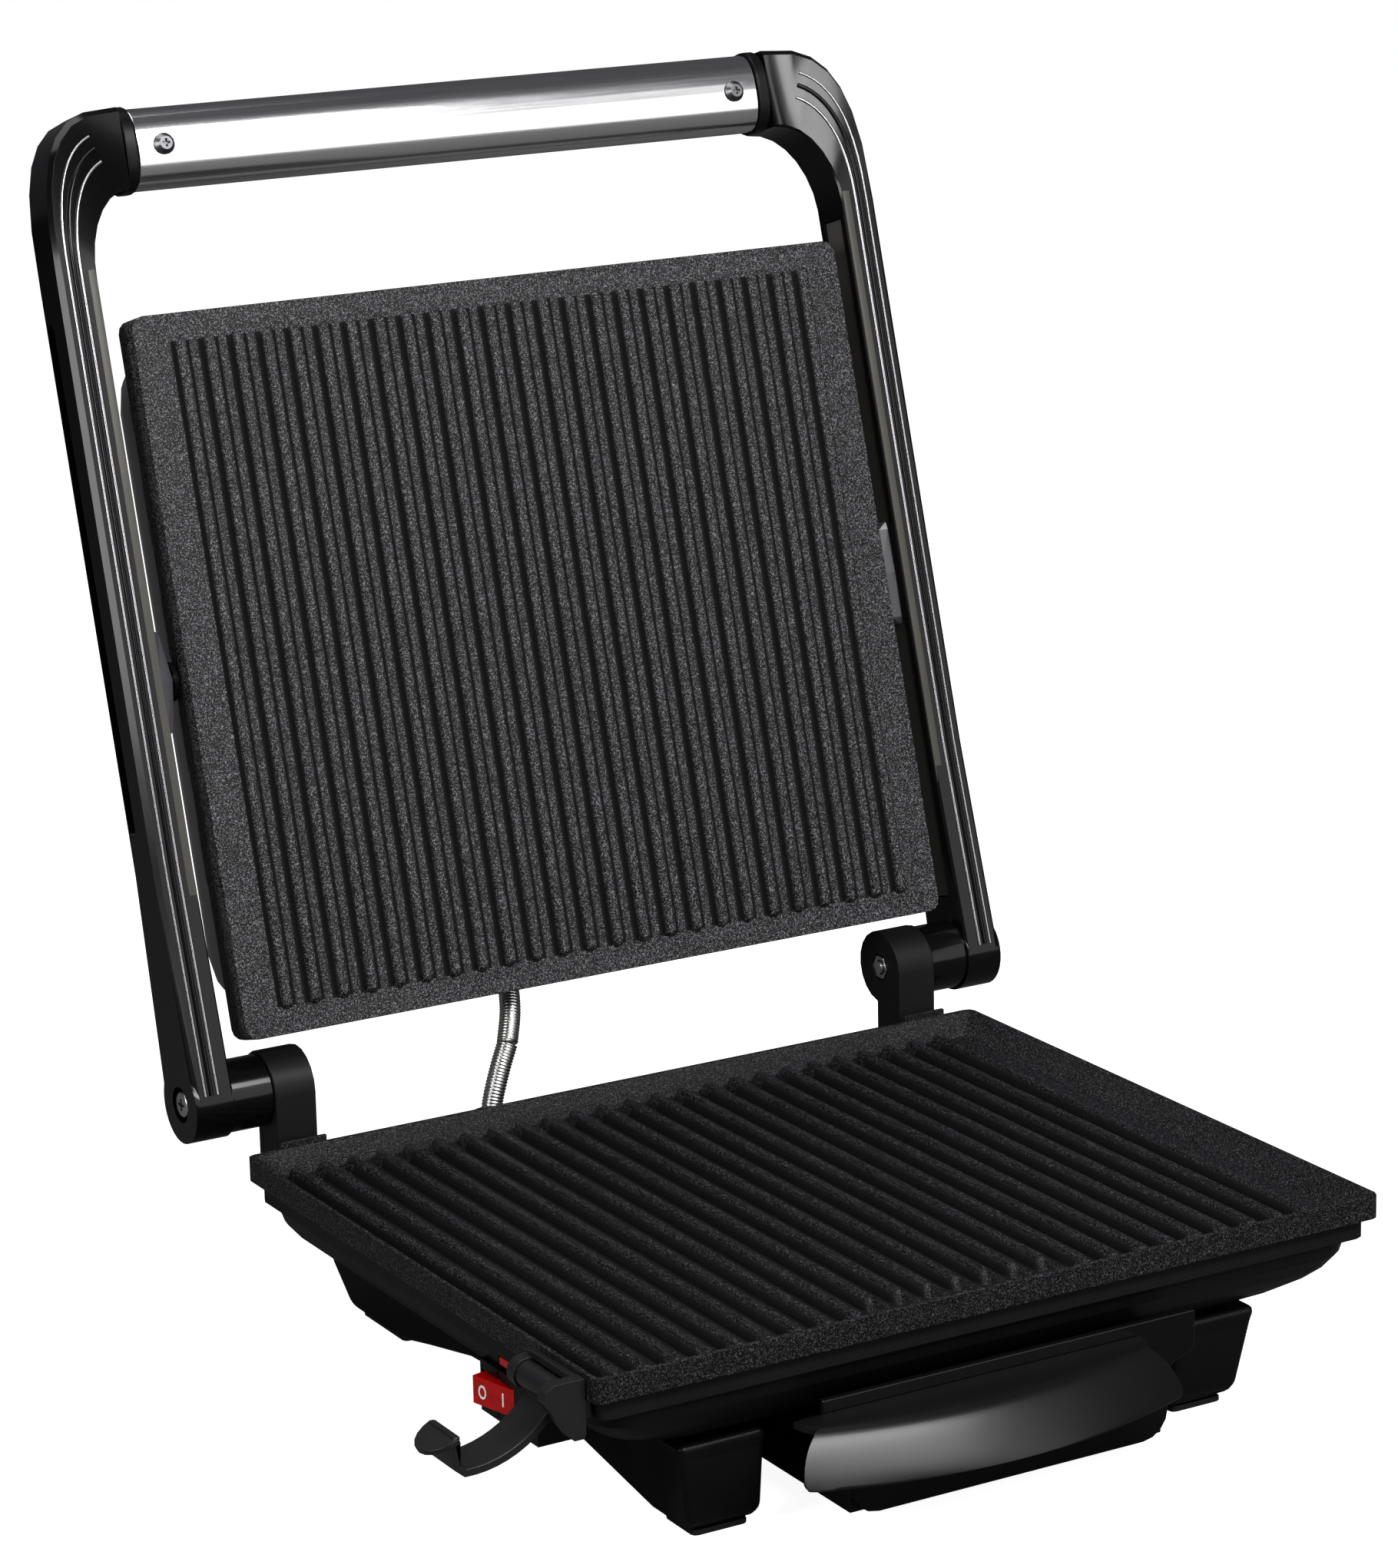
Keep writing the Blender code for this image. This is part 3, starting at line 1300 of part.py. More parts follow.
# ---------------------------------------------------------------- drip tray
def tray_panel():
    """The tray's front: a wide top band and a narrower body with rounded lower corners."""
    outline = [(PANEL_HALF, TRAY_TOP), (-PANEL_HALF, TRAY_TOP), (-PANEL_HALF, TRAY_TOP - 0.0137)]
    outline += [(-TRAY_HALF - 0.002, TRAY_TOP - 0.0170), (-TRAY_HALF, TRAY_TOP - 0.0200)]
    outline += arc((-TRAY_HALF + 0.010, TRAY_BOTTOM + 0.010), 0.010, 180, 270, 4)
    outline += arc((TRAY_HALF - 0.010, TRAY_BOTTOM + 0.010), 0.010, 270, 360, 4)
    outline += [(TRAY_HALF, TRAY_TOP - 0.0200), (TRAY_HALF + 0.002, TRAY_TOP - 0.0170)]
    outline += [(PANEL_HALF, TRAY_TOP - 0.0137)]
    return flat_outline("drip_tray_panel", outline, 0, PANEL_THICK, "Y", GLOSS_BLACK, TRAY)


def tray_handle():
    """The bowed lip that hangs forward of the panel, hollow underneath for the fingers."""
    rings = []
    for share in (-1, -0.97, -0.9, -0.75, -0.5, -0.25, 0, 0.25, 0.5, 0.75, 0.9, 0.97, 1):
        bow = 1 - share * share
        top = -0.0095 - 0.0097 * bow
        low = -0.0175 - 0.0135 * bow
        rings.append(
            [
                (share * 0.066, -FIT, TRAY_TOP - 0.0036),
                (share * 0.063, top, TRAY_TOP - 0.0041),
                (share * 0.0725, low, TRAY_TOP - 0.0207),
                (share * 0.0725, low + 0.0026, TRAY_TOP - 0.0214),
                (share * 0.062, top + 0.0034, TRAY_TOP - 0.0072),
                (share * 0.064, -FIT, TRAY_TOP - 0.0072),
            ]
        )
    return loft("drip_tray_handle", rings, GLOSS_BLACK, TRAY)


def drip_pan():
    """The pan that slides under the tub on its two flanges."""
    front = PANEL_THICK + FIT
    back = PAN_BACK - TRAY_FACE_Y
    x = TRAY_HALF - 0.0008
    pan = block("drip_tray_pan", (-x, front, TRAY_BOTTOM + 0.0004), (x, back, PAN_TOP), STEEL, TRAY)
    flange = block(
        "drip_tray_pan_flange",
        (-TRAY_HALF - TRAY_LIP, front, PAN_TOP - PAN_WALL),
        (TRAY_HALF + TRAY_LIP, back, PAN_TOP),
        None,
        TRAY,
    )
    join(pan, flange)
    hollow = block(
        "drip_tray_pan_hollow",
        (-x + PAN_WALL, front + PAN_WALL, TRAY_BOTTOM + 0.0004 + PAN_WALL),
        (x - PAN_WALL, back - PAN_WALL, PAN_TOP + 0.002),
        None,
        TRAY,
    )
    return cut(pan, hollow)


def tray_rail(side):
    """The angle rail under the tub that carries one flange of the pan."""
    name = "tray_rail_left" if side < 0 else "tray_rail_right"
    inner = TRAY_HALF + TRAY_LIP + FIT
    shelf_top = PAN_TOP - PAN_WALL - FIT
    outline = [(inner, LEG_TOP), (inner + RAIL_THICK, LEG_TOP), (inner + RAIL_THICK, shelf_top - RAIL_THICK)]
    outline += [(TRAY_HALF + 0.0005, shelf_top - RAIL_THICK), (TRAY_HALF + 0.0005, shelf_top)]
    outline += [(inner, shelf_top)]
    outline = [(side * x, z) for x, z in outline]
    return flat_outline(name, outline, -RIM_Y + 0.028, PAN_BACK - 0.002, "Y", STEEL, BASE)


# ---------------------------------------------------------------- conduit
def conduit(name, points, parent):
    curve = bpy.data.curves.new(name, "CURVE")
    curve.dimensions = "3D"
    curve.bevel_depth = CONDUIT_RADIUS
    curve.bevel_resolution = 2
    curve.use_fill_caps = True
    spline = curve.splines.new("POLY")
    spline.points.add(len(points) - 1)
    for target, point in zip(spline.points, points):
        target.co = (*point, 1)
    curve.materials.append(ZINC)
    obj = bpy.data.objects.new(name, curve)
    obj.parent = parent
    press.objects.link(obj)
    return obj


lower_plate()
plate_surround()
belly_z = -RIM_HEIGHT - PLATE_BELLY - FIT
heater("lower_heater", PLATE_WIDTH - 0.076, PLATE_DEPTH - 0.058, belly_z - 0.0032, BASE)
reflector("lower_reflector", PLATE_WIDTH - 0.064, PLATE_DEPTH - 0.042, TUB_TOP - 0.0068, BASE)
rod("lower_thermostat", 0.008, TUB_TOP - 0.0058, belly_z, "Z", (0.045, 0.02), STEEL, BASE)
base_tub()
rear_bridge()
block(
    "terminal_block",
    (-0.018, BRIDGE_FRONT + 0.006, LEG_TOP + BRIDGE_WALL + FIT),
    (0.018, BRIDGE_FRONT + 0.016, LEG_TOP + BRIDGE_WALL + 0.009),
    CERAMIC,
    BASE,
)
for lean in (-1, 1):
    label = "left" if lean < 0 else "right"
    side_runner(lean)
    foot_pad(f"front_foot_pad_{label}", lean, FRONT_FOOT_Y, FRONT_FOOT_LENGTH)
    foot_pad(f"rear_foot_pad_{label}", lean, REAR_FOOT_Y - REAR_FOOT_LENGTH, REAR_FOOT_LENGTH)
    hinge_bracket(lean)
    hinge_bolt(lean)
    hinge_nut(lean)
    arm(lean)
    arm_strip(lean)
    handle_collar(lean)
    handle_screw(lean)
    pivot_block(lean)
    tilt_pin(lean)
    tilt_boss(lean)
    tray_rail(lean)
handle_tube()
upper_plate()
upper_cover()
middle_s = HEAD_START + HEAD_LENGTH / 2 - TILT_S
upper_axis = axis_empty("upper_heater_axis", HEAD, (0, 0, middle_s))
heater_n = HEAD_BACK + 0.0032 + FIT - TILT_N
heater("upper_heater", HEAD_WIDTH - 0.066, HEAD_LENGTH - 0.064, heater_n, upper_axis, upright=True)
reflector_n = TILT_N - 0.0098
reflector("upper_reflector", HEAD_WIDTH - 0.036, HEAD_LENGTH - 0.036, reflector_n, upper_axis, upright=True)
rod(
    "upper_thermostat",
    0.008,
    HEAD_BACK + FIT - TILT_N,
    0.0094 - TILT_N,
    "Y",
    (0.045, middle_s),
    STEEL,
    HEAD,
)
latch_bracket()
latch_pin()
latch_hook()
switch_housing()
switch_rocker()
pilot_lens()
tray_panel()
tray_handle()
drip_pan()
gland(
    "mains_inlet_gland",
    INLET_BORE,
    INLET_BORE + 0.0018,
    BRIDGE_WALL,
    INLET_BORE + 0.0042,
    "Y",
    (INLET_X, BRIDGE_BACK, INLET_Z),
    BASE,
)
gland(
    "conduit_gland_lower",
    CONDUIT_RADIUS + FIT,
    GLAND_RADIUS - 0.0012,
    BRIDGE_WALL,
    GLAND_RADIUS + 0.0012,
    "Z",
    (CONDUIT_X, CONDUIT_Y, BRIDGE_TOP),
    BASE,
)
conduit(
    "conduit_lower",
    [
        (CONDUIT_X, CONDUIT_Y, BRIDGE_TOP - 0.007),
        (CONDUIT_X, CONDUIT_Y, BRIDGE_TOP + 0.004),
        (CONDUIT_X + 0.0045, CONDUIT_Y + 0.0022, HINGE_Z - 0.010),
        (CONDUIT_X + 0.0092, HINGE_Y, HINGE_Z - 0.0012),
    ],
    BASE,
)
conduit(
    "conduit_upper",
    [
        (CONDUIT_X + 0.0096, 0.0002, 0.0010),
        (CONDUIT_X + 0.0140, 0.0034, 0.0100),
        (CONDUIT_X + CONDUIT_SHIFT, CONDUIT_TOP_N, 0.0200),
        (CONDUIT_X + CONDUIT_SHIFT, CONDUIT_TOP_N, 0.0300),
    ],
    LID,
)

# The origin is put at the middle of the footprint, on the table.
bpy.context.view_layer.update()
depsgraph = bpy.context.evaluated_depsgraph_get()
corners = []
for item in press.objects:
    if item.type in ("MESH", "CURVE"):
        shape = item.evaluated_get(depsgraph)
        corners += [shape.matrix_world @ vertex.co for vertex in shape.to_mesh().vertices]
        shape.to_mesh_clear()
low_corner = [min(corner[axis] for corner in corners) for axis in range(3)]
high_corner = [max(corner[axis] for corner in corners) for axis in range(3)]
BASE.location = (
    -(low_corner[0] + high_corner[0]) / 2,
    -(low_corner[1] + high_corner[1]) / 2,
    -low_corner[2],
)
bpy.context.view_layer.update()
print("frame moved by", tuple(BASE.location))
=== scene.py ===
import json
from math import cos, pi, radians, sin

import bmesh
import bpy
from mathutils import Matrix, Vector


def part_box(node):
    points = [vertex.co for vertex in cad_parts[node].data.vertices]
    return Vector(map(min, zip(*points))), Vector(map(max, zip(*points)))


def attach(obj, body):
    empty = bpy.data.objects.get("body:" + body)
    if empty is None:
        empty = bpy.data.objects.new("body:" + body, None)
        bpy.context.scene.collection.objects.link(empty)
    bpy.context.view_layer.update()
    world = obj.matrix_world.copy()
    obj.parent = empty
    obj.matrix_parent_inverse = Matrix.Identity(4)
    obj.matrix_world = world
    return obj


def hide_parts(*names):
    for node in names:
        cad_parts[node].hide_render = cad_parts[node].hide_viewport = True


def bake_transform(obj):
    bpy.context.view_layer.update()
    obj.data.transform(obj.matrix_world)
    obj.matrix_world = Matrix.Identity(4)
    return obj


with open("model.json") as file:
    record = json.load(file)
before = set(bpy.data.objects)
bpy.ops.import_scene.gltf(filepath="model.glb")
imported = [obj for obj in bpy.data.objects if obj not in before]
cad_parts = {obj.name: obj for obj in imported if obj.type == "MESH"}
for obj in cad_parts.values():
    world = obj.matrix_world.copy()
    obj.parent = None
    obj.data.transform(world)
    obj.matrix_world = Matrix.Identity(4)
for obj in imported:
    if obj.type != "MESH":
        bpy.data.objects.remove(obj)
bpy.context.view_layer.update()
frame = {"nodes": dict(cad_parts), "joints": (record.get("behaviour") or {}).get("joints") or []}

# ---- Where the press stands
# The press is looked at from its left front corner, a little above the worktop. The middle of the
# lower plate's rim is the point that the camera and the sizes below are counted from.
plate_low, plate_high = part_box("lower_plate")
TAB_PROUD = 0.0024
rim = Vector(
    ((plate_low.x + plate_high.x) / 2, (plate_low.y + plate_high.y) / 2, plate_high.z - TAB_PROUD)
)
CAMERA_FROM_RIM = (-0.8188, -1.3517, 0.5603)
LENS_LENGTH = 112.81
LENS_SHIFT = (-0.02841, -0.03713)
turn, tilt, roll = radians(-30.58), radians(14.29), radians(-1.11)
back = Vector((sin(turn) * cos(tilt), -cos(turn) * cos(tilt), sin(tilt)))
right = Vector((cos(turn), sin(turn), 0))
up = back.cross(right)
camera_x = right * cos(roll) + up * sin(roll)
camera_y = up * cos(roll) - right * sin(roll)
lens = bpy.data.cameras.new("camera")
lens.lens = LENS_LENGTH
lens.sensor_width = 36
lens.shift_x, lens.shift_y = LENS_SHIFT
camera = bpy.data.objects.new("camera", lens)
aim = Matrix((camera_x, camera_y, back)).transposed().to_4x4()
camera.matrix_world = Matrix.Translation(rim + Vector(CAMERA_FROM_RIM)) @ aim
bpy.context.scene.collection.objects.link(camera)
bpy.context.scene.camera = camera

# ---- Studio
# The room is white to the camera and dark to every other ray, so that the black mouldings don't
# mirror a white wall. Five soft rectangular lights make the highlights, and white stays white.
bpy.context.scene.view_settings.view_transform = "Standard"
ROOM_TONE = (0.07, 0.07, 0.075, 1.0)
world = bpy.data.worlds.new("studio")
world.use_nodes = True
world_tree = world.node_tree
seen = world_tree.nodes["Background"]
seen.inputs["Color"].default_value = (1.0, 1.0, 1.0, 1.0)
around = world_tree.nodes.new("ShaderNodeBackground")
around.inputs["Color"].default_value = ROOM_TONE
ray = world_tree.nodes.new("ShaderNodeLightPath")
choice = world_tree.nodes.new("ShaderNodeMixShader")
world_tree.links.new(ray.outputs["Is Camera Ray"], choice.inputs["Fac"])
world_tree.links.new(around.outputs["Background"], choice.inputs[1])
world_tree.links.new(seen.outputs["Background"], choice.inputs[2])
world_tree.links.new(choice.outputs["Shader"], world_tree.nodes["World Output"].inputs["Surface"])
bpy.context.scene.world = world


def softbox(name, place, aim, width, height, power):
    """A rectangular studio light that faces a point."""
    light = bpy.data.lights.new(name, "AREA")
    light.shape = "RECTANGLE"
    light.size = width
    light.size_y = height
    light.energy = power
    lamp = bpy.data.objects.new(name, light)
    lamp.location = place
    lamp.rotation_euler = (Vector(aim) - Vector(place)).to_track_quat("-Z", "Y").to_euler()
    bpy.context.scene.collection.objects.link(lamp)


softbox("high_light", (0.15, -1.45, 1.55), (0, 0, 0.15), 1.3, 0.55, 48)
softbox("front_card", (0.95, -1.75, 0.72), (0, 0, 0.15), 0.9, 1.25, 7)
softbox("strip_light", (-0.12, -1.85, 0.60), (0, 0, 0.2), 0.16, 1.3, 5)
softbox("top_light", (-0.3, 0.3, 1.9), (0, 0, 0.1), 1.2, 1.2, 16)
softbox("left_light", (-1.5, -0.35, 0.75), (0, 0, 0.2), 0.5, 0.7, 12)

# ---- Worktop
# A plain pale worktop far wider than the press, only to stand the press on. Like the room, it is
# near white to the camera and dark to every other ray.
FLOOR_GLOW = 0.93
FLOOR_SEEN = (0.62, 0.62, 0.62, 1.0)
FLOOR_MIRRORED = (0.10, 0.10, 0.10, 1.0)
floor_bm = bmesh.new()
bmesh.ops.create_grid(floor_bm, x_segments=1, y_segments=1, size=6.0)
floor_mesh = bpy.data.meshes.new("worktop")
floor_bm.to_mesh(floor_mesh)
floor_bm.free()
floor = bpy.data.objects.new("worktop", floor_mesh)
bpy.context.scene.collection.objects.link(floor)
floor_paint = bpy.data.materials.new("pale_worktop")
floor_paint.use_nodes = True
floor_shader = floor_paint.node_tree.nodes["Principled BSDF"]
floor_shader.inputs["Roughness"].default_value = 0.9
floor_shader.inputs["Specular IOR Level"].default_value = 0.0
floor_shader.inputs["Emission Color"].default_value = (1.0, 1.0, 1.0, 1.0)
floor_ray = floor_paint.node_tree.nodes.new("ShaderNodeLightPath")
floor_glow = floor_paint.node_tree.nodes.new("ShaderNodeMath")
floor_glow.operation = "MULTIPLY"
floor_glow.inputs[1].default_value = FLOOR_GLOW
floor_tone = floor_paint.node_tree.nodes.new("ShaderNodeMix")
floor_tone.data_type = "RGBA"
floor_round, floor_seen = [s for s in floor_tone.inputs if s.type == "RGBA"]
floor_round.default_value = FLOOR_MIRRORED
floor_seen.default_value = FLOOR_SEEN
floor_mixed = [s for s in floor_tone.outputs if s.type == "RGBA"][0]
floor_paint.node_tree.links.new(floor_ray.outputs["Is Camera Ray"], floor_tone.inputs[0])
floor_paint.node_tree.links.new(floor_mixed, floor_shader.inputs["Base Color"])
floor_paint.node_tree.links.new(floor_ray.outputs["Is Camera Ray"], floor_glow.inputs[0])
floor_paint.node_tree.links.new(floor_glow.outputs[0], floor_shader.inputs["Emission Strength"])
floor_mesh.materials.append(floor_paint)

# ---- Base tub and its bracing
# The bowl under the lower plate, the band round its top and the bridge behind it are injection
# moulded in black heat-resistant plastic, with a fine spark-eroded grain and softly broken edges.


def add_node(tree, kind, **values):
    """A shader node with some of its properties and input values set."""
    node = tree.nodes.new(kind)
    for key, value in values.items():
        if hasattr(node, key):
            setattr(node, key, value)
        else:
            node.inputs[key.replace("_", " ")].default_value = value
    return node


def make_group(name, inputs, outputs):
    """An empty shader group with number, colour or vector sockets, and its two end nodes."""
    group = bpy.data.node_groups.new(name, "ShaderNodeTree")
    kinds = {"f": "NodeSocketFloat", "c": "NodeSocketColor", "v": "NodeSocketVector"}
    for label, kind in inputs:
        group.interface.new_socket(label, in_out="INPUT", socket_type=kinds[kind])
    for label, kind in outputs:
        group.interface.new_socket(label, in_out="OUTPUT", socket_type=kinds[kind])
    return group, group.nodes.new("NodeGroupInput"), group.nodes.new("NodeGroupOutput")


grain_group, grain_in, grain_out = make_group(
    "fine_grain",
    [("Vector", "v"), ("Size", "f"), ("Depth", "f"), ("Roughness", "f"), ("Spread", "f")],
    [("Roughness", "f"), ("Normal", "v")],
)
grain_noise = add_node(grain_group, "ShaderNodeTexNoise", Detail=3.0, Roughness=0.6)
grain_patches = add_node(grain_group, "ShaderNodeTexNoise", Scale=28.0, Detail=4.0, Roughness=0.65)
grain_bump = add_node(grain_group, "ShaderNodeBump", Strength=1.0)
grain_shift = add_node(grain_group, "ShaderNodeMath", operation="SUBTRACT")
grain_shift.inputs[1].default_value = 0.5
grain_level = add_node(grain_group, "ShaderNodeMath", operation="MULTIPLY_ADD")
grain_group.links.new(grain_in.outputs["Vector"], grain_noise.inputs["Vector"])
grain_group.links.new(grain_in.outputs["Vector"], grain_patches.inputs["Vector"])
grain_group.links.new(grain_in.outputs["Size"], grain_noise.inputs["Scale"])
grain_group.links.new(grain_in.outputs["Depth"], grain_bump.inputs["Distance"])
grain_group.links.new(grain_noise.outputs["Fac"], grain_bump.inputs["Height"])
grain_group.links.new(grain_bump.outputs["Normal"], grain_out.inputs["Normal"])
grain_group.links.new(grain_patches.outputs["Fac"], grain_shift.inputs[0])
grain_group.links.new(grain_shift.outputs[0], grain_level.inputs[0])
grain_group.links.new(grain_in.outputs["Spread"], grain_level.inputs[1])
grain_group.links.new(grain_in.outputs["Roughness"], grain_level.inputs[2])
grain_group.links.new(grain_level.outputs[0], grain_out.inputs["Roughness"])


def plastic(name, dark, light, roughness, spread, size, depth, coat=0.0, shine=0.14):
    """A moulded plastic: a little colour drift, uneven gloss and a fine grain."""
    material = bpy.data.materials.new(name)
    material.use_nodes = True
    tree = material.node_tree
    shader = tree.nodes["Principled BSDF"]
    shader.inputs["Specular IOR Level"].default_value = shine
    shader.inputs["Coat Weight"].default_value = coat
    shader.inputs["Coat Roughness"].default_value = 0.06
    coords = add_node(tree, "ShaderNodeTexCoord")
    grain = tree.nodes.new("ShaderNodeGroup")
    grain.node_tree = grain_group
    settings = {"Size": size, "Depth": depth, "Roughness": roughness, "Spread": spread}
    for label, value in settings.items():
        grain.inputs[label].default_value = value
    drift = add_node(tree, "ShaderNodeTexNoise", Scale=45.0, Detail=5.0)
    ramp = add_node(tree, "ShaderNodeMix", data_type="RGBA")
    first, second = [s for s in ramp.inputs if s.type == "RGBA"]
    first.default_value = (*dark, 1.0)
    second.default_value = (*light, 1.0)
    tree.links.new(coords.outputs["Object"], grain.inputs["Vector"])
    tree.links.new(coords.outputs["Object"], drift.inputs["Vector"])
    tree.links.new(drift.outputs["Fac"], ramp.inputs[0])
    tree.links.new([s for s in ramp.outputs if s.type == "RGBA"][0], shader.inputs["Base Color"])
    tree.links.new(grain.outputs["Roughness"], shader.inputs["Roughness"])
    tree.links.new(grain.outputs["Normal"], shader.inputs["Normal"])
    return material


moulded_black = plastic(
    "moulded_black",
    dark=(0.0022, 0.0022, 0.0024),
    light=(0.0045, 0.0045, 0.0048),
    roughness=0.34,
    spread=0.16,
    size=2200.0,
    depth=0.00003,
)
heat_black = plastic(
    "heat_black",
    dark=(0.0035, 0.0035, 0.0038),
    light=(0.0075, 0.0075, 0.008),
    roughness=0.44,
    spread=0.2,
    size=1500.0,
    depth=0.00005,
)
MERGE_DISTANCE = 0.000005
FLAT_WITHIN = radians(0.6)


def dressed(node, name, body, material, edge, segments=2, angle=28):
    """A copy of a CAD solid with its triangles merged and its edges broken, in place of the solid."""
    bm = bmesh.new()
    bm.from_mesh(frame["nodes"][node].data)
    bmesh.ops.remove_doubles(bm, verts=bm.verts, dist=MERGE_DISTANCE)
    bmesh.ops.dissolve_limit(bm, angle_limit=FLAT_WITHIN, verts=bm.verts, edges=bm.edges)
    mesh = bpy.data.meshes.new(name)
    bm.to_mesh(mesh)
    bm.free()
    mesh.shade_smooth()
    mesh.set_sharp_from_angle(angle=radians(angle))
    mesh.materials.clear()
    mesh.materials.append(material)
    piece = bpy.data.objects.new(name, mesh)
    bpy.context.scene.collection.objects.link(piece)
    if edge > 0:
        bevel = piece.modifiers.new("broken_edges", "BEVEL")
        bevel.width = edge
        bevel.segments = segments
        bevel.limit_method = "ANGLE"
        bevel.angle_limit = radians(angle)
        bevel.harden_normals = True
    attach(piece, body)
    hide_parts(node)
    return piece


dressed("base_tub", "tub_shell", "base", moulded_black, 0.0005)
dressed("plate_surround", "heat_band", "base", heat_black, 0.0006)
dressed("rear_bridge", "bridge_beam", "base", moulded_black, 0.0008)

# ---- Runners and feet
# Two runners screwed under the tub, each with an arch between its feet, in the tub's own plastic.
# A rubber pad is pressed into the bottom of each foot.
rubber = plastic(
    "foot_rubber",
    dark=(0.005, 0.005, 0.005),
    light=(0.010, 0.010, 0.010),
    roughness=0.72,
    spread=0.15,
    size=900.0,
    depth=0.00008,
)
for side in ("left", "right"):
    dressed(f"side_runner_{side}", f"runner_{side}", "base", moulded_black, 0.0055, 4)
    for end in ("front", "rear"):
        dressed(f"{end}_foot_pad_{side}", f"{end}_pad_{side}", "base", rubber, 0.0005)

# ---- Lower plate
# A die-cast aluminium plate with a thin raised lip and long cooking ribs. It is blasted and then
# sprayed with a charcoal non-stick coating full of fine pale flecks.
RIB_PITCH = 0.011
RIB_FOOT = 0.0030
FOOT_LINE = (0.0007, 0.0014)
FOOT_DARKNESS = 0.97
FOOT_COLOUR = (0.0008, 0.0008, 0.0009, 1.0)


